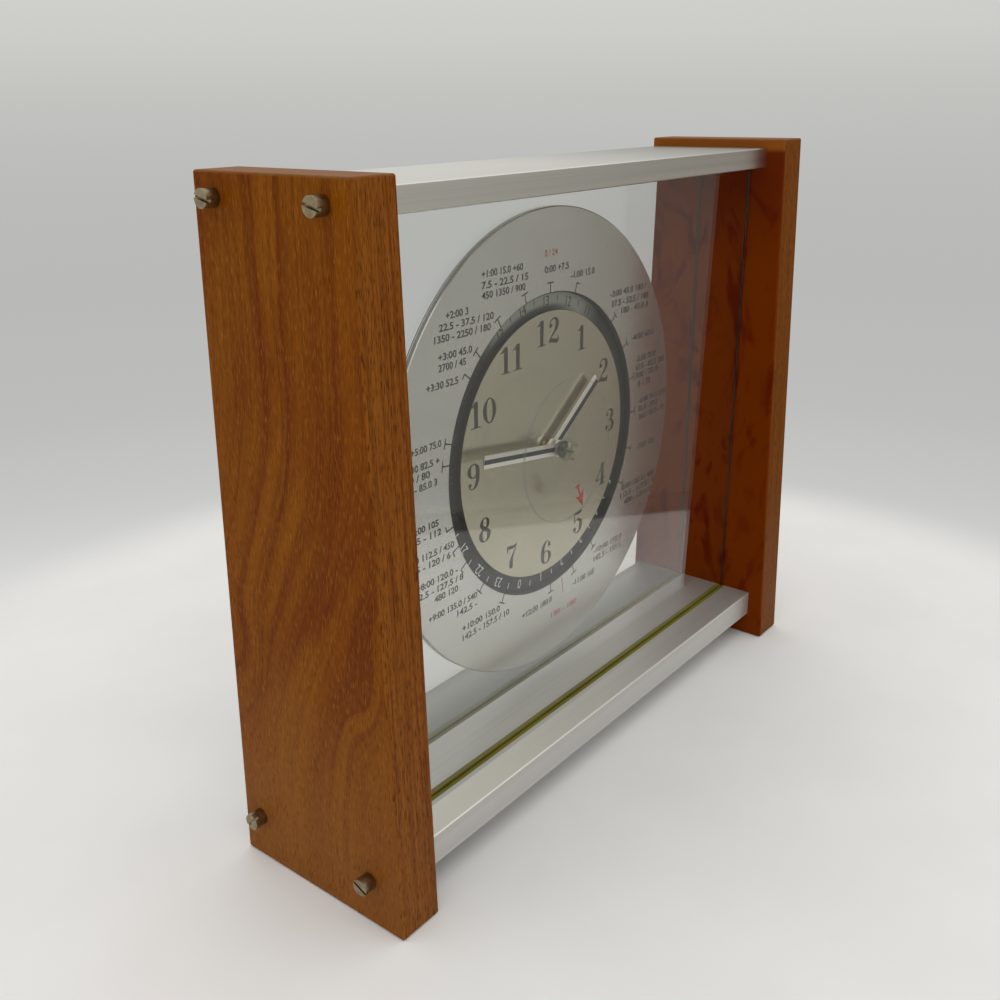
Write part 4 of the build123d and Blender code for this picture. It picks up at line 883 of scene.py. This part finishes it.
DIAL_FACE_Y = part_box("inner_dial")[0].y
NUMBER_RADIUS, NUMBER_HEIGHT, NUMBER_ASIDE = 39.2, 8.5, (-0.4, 0.0)
numbers = []
for hour in range(1, 13):
    flat, triangles = number_shape(str(hour))
    turn = math.radians(30 * hour)
    middle = NUMBER_RADIUS * np.array([math.sin(turn), math.cos(turn)]) + NUMBER_ASIDE
    numbers.append((flat * NUMBER_HEIGHT + middle, triangles))
dial_numbers = printed("dial_numbers", numbers, DIAL_FACE_Y, brown_ink, "case")
print("triangles in the dial numbers:", len(dial_numbers.data.polygons))

# %% [markdown]
# ## The ring's hours
# The ring carries the hours 0 to 23, growing to the left, dark on the day's half and white on
# the night's, with a short line between each two. These figures are plain and narrow, so
# Blender's own typeface serves: the text is turned into a mesh at once, and its points are
# then moved as an array like any other shape.

# %% Print the ring
CAPITAL_SHARE = 0.73  # height of a capital, as a share of the type size


def plain_text(words, height, width=0.84, align="CENTER", weight=0.0):
    """Text as flat triangles in mm, with its capitals of the given height, on its middle line."""
    curve = bpy.data.curves.new("words", "FONT")
    curve.body, curve.size, curve.align_x = words, height / CAPITAL_SHARE, align
    curve.resolution_u, curve.offset = 3, weight
    holder = bpy.data.objects.new("words", curve)
    bpy.context.scene.collection.objects.link(holder)
    mesh = bpy.data.meshes.new_from_object(holder)
    mesh.calc_loop_triangles()
    flat = np.zeros(len(mesh.vertices) * 3)
    mesh.vertices.foreach_get("co", flat)
    triangles = np.zeros(len(mesh.loop_triangles) * 3, int)
    mesh.loop_triangles.foreach_get("vertices", triangles)
    bpy.data.objects.remove(holder)
    bpy.data.curves.remove(curve)
    bpy.data.meshes.remove(mesh)
    flat = flat.reshape(-1, 3)[:, :2] * (width, 1.0) - (0.0, height / 2)
    return flat, triangles.reshape(-1, 3)


def on_circle(shape, radius, clock_angle):
    """Move a flat shape to a radius at an angle clockwise from the top, head outwards."""
    flat, triangles = shape
    turn = math.radians(clock_angle)
    out = np.array([math.sin(turn), math.cos(turn)])
    along = np.array([math.cos(turn), -math.sin(turn)])
    return flat[:, :1] * along + (flat[:, 1:] + radius) * out, triangles


def rectangle(width, height):
    """A flat bar centred on the origin, as two triangles."""
    x, y = width / 2, height / 2
    return np.array([(-x, -y), (x, -y), (x, y), (-x, y)]), np.array([(0, 1, 2), (0, 2, 3)])


RING_FACE_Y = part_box("hour_ring")[0].y
TOP_HOUR, RING_TURN, HOUR_STEP = 13, 0.9, 15.0
DAY_UP_TO, DUSK_UP_TO = 55, 108  # degrees from the top
day_marks, dusk_marks, night_marks = [], [], []
for hour in range(24):
    angle = RING_TURN - HOUR_STEP * (hour - TOP_HOUR)
    from_top = abs((angle + 180) % 360 - 180)
    marks = (day_marks if from_top < DAY_UP_TO else dusk_marks if from_top < DUSK_UP_TO
             else night_marks)
    marks += [on_circle(plain_text(str(hour), height=3.5), 49.15, angle),
              on_circle(rectangle(0.35, 1.9), 49.6, angle + HOUR_STEP / 2)]
for part_of_day, marks, ink in (("day", day_marks, black_ink), ("dusk", dusk_marks, dusk_ink),
                                ("night", night_marks, white_ink)):
    printed(f"ring_{part_of_day}_hours", marks, RING_FACE_Y, ink, "hour_ring")
print("hours on the ring:", [len(marks) // 2 for marks in (day_marks, dusk_marks, night_marks)])

# %% [markdown]
# ## The zone disc's print
# Round the opening stands a small T for each time zone, its stem on the opening's edge. Beside
# it are a few lines of small capitals. Here those lines are plain numbers: the zone's shift in
# hours, its meridian in degrees and the belt's two limits. They keep the places, the length
# and the number of the lines. All of it is black ink, apart from red marks at top and bottom.

# %% Print the zones
DISC_FACE_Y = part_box("zone_disc")[0].y
CAPITAL, TICK, TICK_WIDTH, STEM_RADIUS, HEAD_RADIUS = 2.2, 3.4, 0.45, 53.6, 55.3
WHOLE_TICKS = (0, -14.5, -30, -44, -75, -82.2, -136.4, -151.5, 178, 162.7, 148.3, 45.7, 60.6, 76,
               90.3, 105.2, 119.6)
HALF_TICKS = {15.8: 1, -52.3: -1, -104.7: 1, -113.2: -1, -121.6: -1}
zone_marks = []
for angle in WHOLE_TICKS:
    zone_marks += [on_circle(rectangle(TICK_WIDTH, TICK), STEM_RADIUS, angle),
                   on_circle(rectangle(TICK, TICK_WIDTH), HEAD_RADIUS, angle)]
for angle, side in HALF_TICKS.items():
    zone_marks += [on_circle(rectangle(TICK_WIDTH, TICK), STEM_RADIUS, angle),
                   on_circle(rectangle(2.0, TICK_WIDTH), HEAD_RADIUS, angle + side * 0.9)]

ZONES = [
    (-3.3, 10.2, 59.8, "0:00 +7.5"), (11.5, 25.7, 56.2, "-1:00 15.0"),
    (-35.2, -14.7, 62.4, "+1:00 15.0 +60"), (-35.2, -12.0, 59.1, "7.5 - 22.5 / 15"),
    (-35.2, -13.5, 56.0, "450 1350 / 900"), (-51.8, -41.5, 52.7, "+2:00 3"),
    (-54.8, -29.5, 49.5, "22.5 - 37.5 / 120"), (-57.0, -31.0, 46.3, "1350 - 2250 / 180"),
    (-55.5, -40.0, 41.0, "+3:00 45.0"), (-55.5, -43.0, 37.8, "2700 / 45"),
    (-61.0, -46.7, 32.8, "+3:30 52.5"), (-68.5, -55.0, 15.2, "+5:00 75.0"),
    (-73.0, -56.0, 10.1, "+5:30 82.5 +"), (-73.0, -60.4, 7.0, "330 / 80"),
    (-74.0, -57.3, 3.7, "80.0 - 85.0 3"), (-71.0, -57.2, -9.5, "+7:00 105"),
    (-72.0, -56.0, -12.7, "97.5 - 112"), (-74.0, -50.2, -18.8, "+7:30 112.5 / 450"),
    (-71.0, -52.0, -22.0, "105 - 120 / 6"), (-68.0, -48.7, -28.1, "+8:00 120.0 -"),
    (-70.0, -46.0, -31.3, "112.5 - 127.5 / 8"), (-60.0, -48.7, -34.5, "480 120"),
    (-63.0, -39.3, -40.3, "+9:00 135.0 / 540"), (-49.4, -39.3, -43.5, "142.5 -"),
    (-47.0, -27.4, -49.9, "+10:00 150.0"), (-47.0, -22.3, -53.2, "142.5 - 157.5 / 10"),
    (-15.0, 2.8, -58.2, "+12:00 180.0"), (16.0, 30.0, -57.0, "-11:00 165"),
    (29.5, 49.0, -48.9, "-10:00 150.0"), (29.5, 48.5, -52.2, "142.5 - 157.5"),
    (47.0, 72.0, -29.0, "-8:00 120.0 / 480"), (47.0, 72.0, -32.2, "112.5 - 127.5 / 8"),
    (50.0, 70.0, -35.4, "480 - 120.0 8"), (57.5, 70.5, -15.3, "-7:00 105"),
    (58.0, 77.5, 3.0, "-6:00 90.0 360"), (58.0, 72.0, -0.2, "82.5 - 97.5"),
    (58.5, 77.5, -3.4, "360 / 90.0 - 97"), (55.0, 69.0, 19.6, "-5:00 75.0"),
    (55.0, 76.0, 16.4, "67.5 - 82.5 300"), (55.0, 73.5, 13.3, "300 / 75.0 -"),
    (57.0, 66.0, 9.8, "5 / 75"), (51.5, 67.0, 28.3, "-4:00 60.0"),
    (36.0, 60.0, 46.4, "-3:00 45.0 180 /"), (37.0, 62.0, 42.8, "37.5 - 52.5 / 180"),
    (43.5, 62.0, 39.5, "180 - 45.0 3"),
]


def fitted_text(words, left, right, z, weight=0.07):
    """A line of text stretched to run from left to right on its middle line z."""
    flat, triangles = plain_text(words, CAPITAL, 1.0, "LEFT", weight)
    start, end = flat[:, 0].min(), flat[:, 0].max()
    x = left + (flat[:, 0] - start) * (right - left) / (end - start)
    return np.stack([x, flat[:, 1] + z], -1), triangles


zone_marks += [fitted_text(words, left, right, z) for left, right, z, words in ZONES]
printed("zone_print", zone_marks, DISC_FACE_Y, black_ink, "case", ink=0.02)
red_marks = [fitted_text("0 / 24", -3.3, 3.7, 65.0, 0.03),
             on_circle(rectangle(0.3, 6.4), 56.2, 170.5),
             fitted_text("180 - 180", 2.5, 18.5, -64.8, 0.02)]
printed("zone_red_print", red_marks, DISC_FACE_Y, red_ink, "case", ink=0.02)
print("lines of text:", len(ZONES), "ticks:", len(WHOLE_TICKS) + len(HALF_TICKS))

# %% [markdown]
# ## Hand stripes and the seconds marker
# Each silver hand has a black stripe along its middle, and the clear seconds disc carries a
# small red marker near its edge, which is what tells the seconds. The stripes ride on the
# hands and the marker on the disc, so they turn with them.

# %% Stripe the hands, mark the seconds
def along_hand(length, start, width, clock_angle, aside=0.0):
    """A bar from start to length along a hand, aside to the right of its middle line."""
    flat, triangles = rectangle(width, length - start)
    return on_circle((flat + (aside, (length + start) / 2), triangles), 0.0, clock_angle)


STRIPE_START = 3.0
printed("minute_stripe", [along_hand(40.9, STRIPE_START, 1.5, MINUTE_ANGLE)],
        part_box("minute_hand")[0].y, black_ink, "minute_hand")
printed("hour_stripe", [along_hand(31.4, STRIPE_START, 1.9, HOUR_ANGLE, aside=0.35)],
        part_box("hour_hand")[0].y, black_ink, "hour_hand")


def marker_shape():
    """A slim arrow: a head of four corners, a straight tail and a small wing at its end."""
    head = np.array([(0.0, 5.0), (2.6, -0.8), (0.0, 0.8), (-2.6, -0.8)])
    wing = np.array([(-1.7, -4.2), (1.7, -4.2), (0.4, -2.9), (-0.4, -2.9)])
    return melt([head[None], bar(-0.45, -4.2, 0.45, 0.9), wing[None]])


printed("seconds_marker", [on_circle(marker_shape(), radius=18.9, clock_angle=159.0)],
        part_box("seconds_disc")[0].y, red_ink, "seconds", ink=0.04)
print("stripes and marker printed")

# %% [markdown]
# ## Marks on the back
# The photograph doesn't show the back. Such movements carry a curved arrow beside the set knob,
# for the way the hands are moved, and the poles of the battery on its cover. They are painted
# grey, and the poles come off together with the cover.

# %% Mark the back
def curved_arrow(radius, start, end, width=0.6):
    """A band from one clock angle to another, of four-cornered steps, then a pointed head."""
    turn = np.radians(np.linspace(start, end, 25))[:, None]
    ray = np.concatenate([np.sin(turn), np.cos(turn)], -1)
    low, high = ray * (radius - width / 2), ray * (radius + width / 2)
    band = np.stack([low[:-1], high[:-1], high[1:], low[1:]], 1)
    onward = np.array([ray[-1, 1], -ray[-1, 0]]) * 2.4
    head = np.stack([ray[-1] * (radius - 1.3), ray[-1] * radius + onward, ray[-1] * (radius + 1.3)])
    return melt([band, head[None]])


def bar_round(x, z, wide, tall):
    """A flat bar round (x, z), from half its width and half its height."""
    return bar(x - wide, z - tall, x + wide, z + tall)


grey_paint = ink_finish("grey_paint", (0.30, 0.30, 0.29, 1), (0.22, 0.22, 0.21, 1), 0.55)
knob_low, knob_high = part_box("set_knob")
knob_x = -(knob_low.x + knob_high.x) / 2 / MM
knob_z = ((knob_low.z + knob_high.z) / 2 - DIAL_Z) / MM
arrow_flat, arrow_faces = curved_arrow(7.4, 115.0, 235.0)
arrow = (arrow_flat + (knob_x, knob_z), arrow_faces)
BACK_FACE_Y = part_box("rear_cover")[1].y
printed("set_arrow", [arrow], BACK_FACE_Y, grey_paint, "case", behind=True)
POLE, POLE_HALF, LINE_HALF = 20.0, 1.6, 0.35
plus_side = -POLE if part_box("battery_contact_plus")[0].x > 0 else POLE
cover_low, cover_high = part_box("battery_cover")
cover_z = ((cover_low.z + cover_high.z) / 2 - DIAL_Z) / MM
poles = [melt([bar_round(plus_side, cover_z, POLE_HALF, LINE_HALF),
               bar_round(plus_side, cover_z, LINE_HALF, POLE_HALF)]),
         melt([bar_round(-plus_side, cover_z, POLE_HALF, LINE_HALF)])]
printed("battery_poles", poles, BACK_FACE_Y, grey_paint, "battery_cover",
        behind=True)
print("arrow points:", len(arrow_flat), "plus sign at", plus_side, "mm as seen from behind")
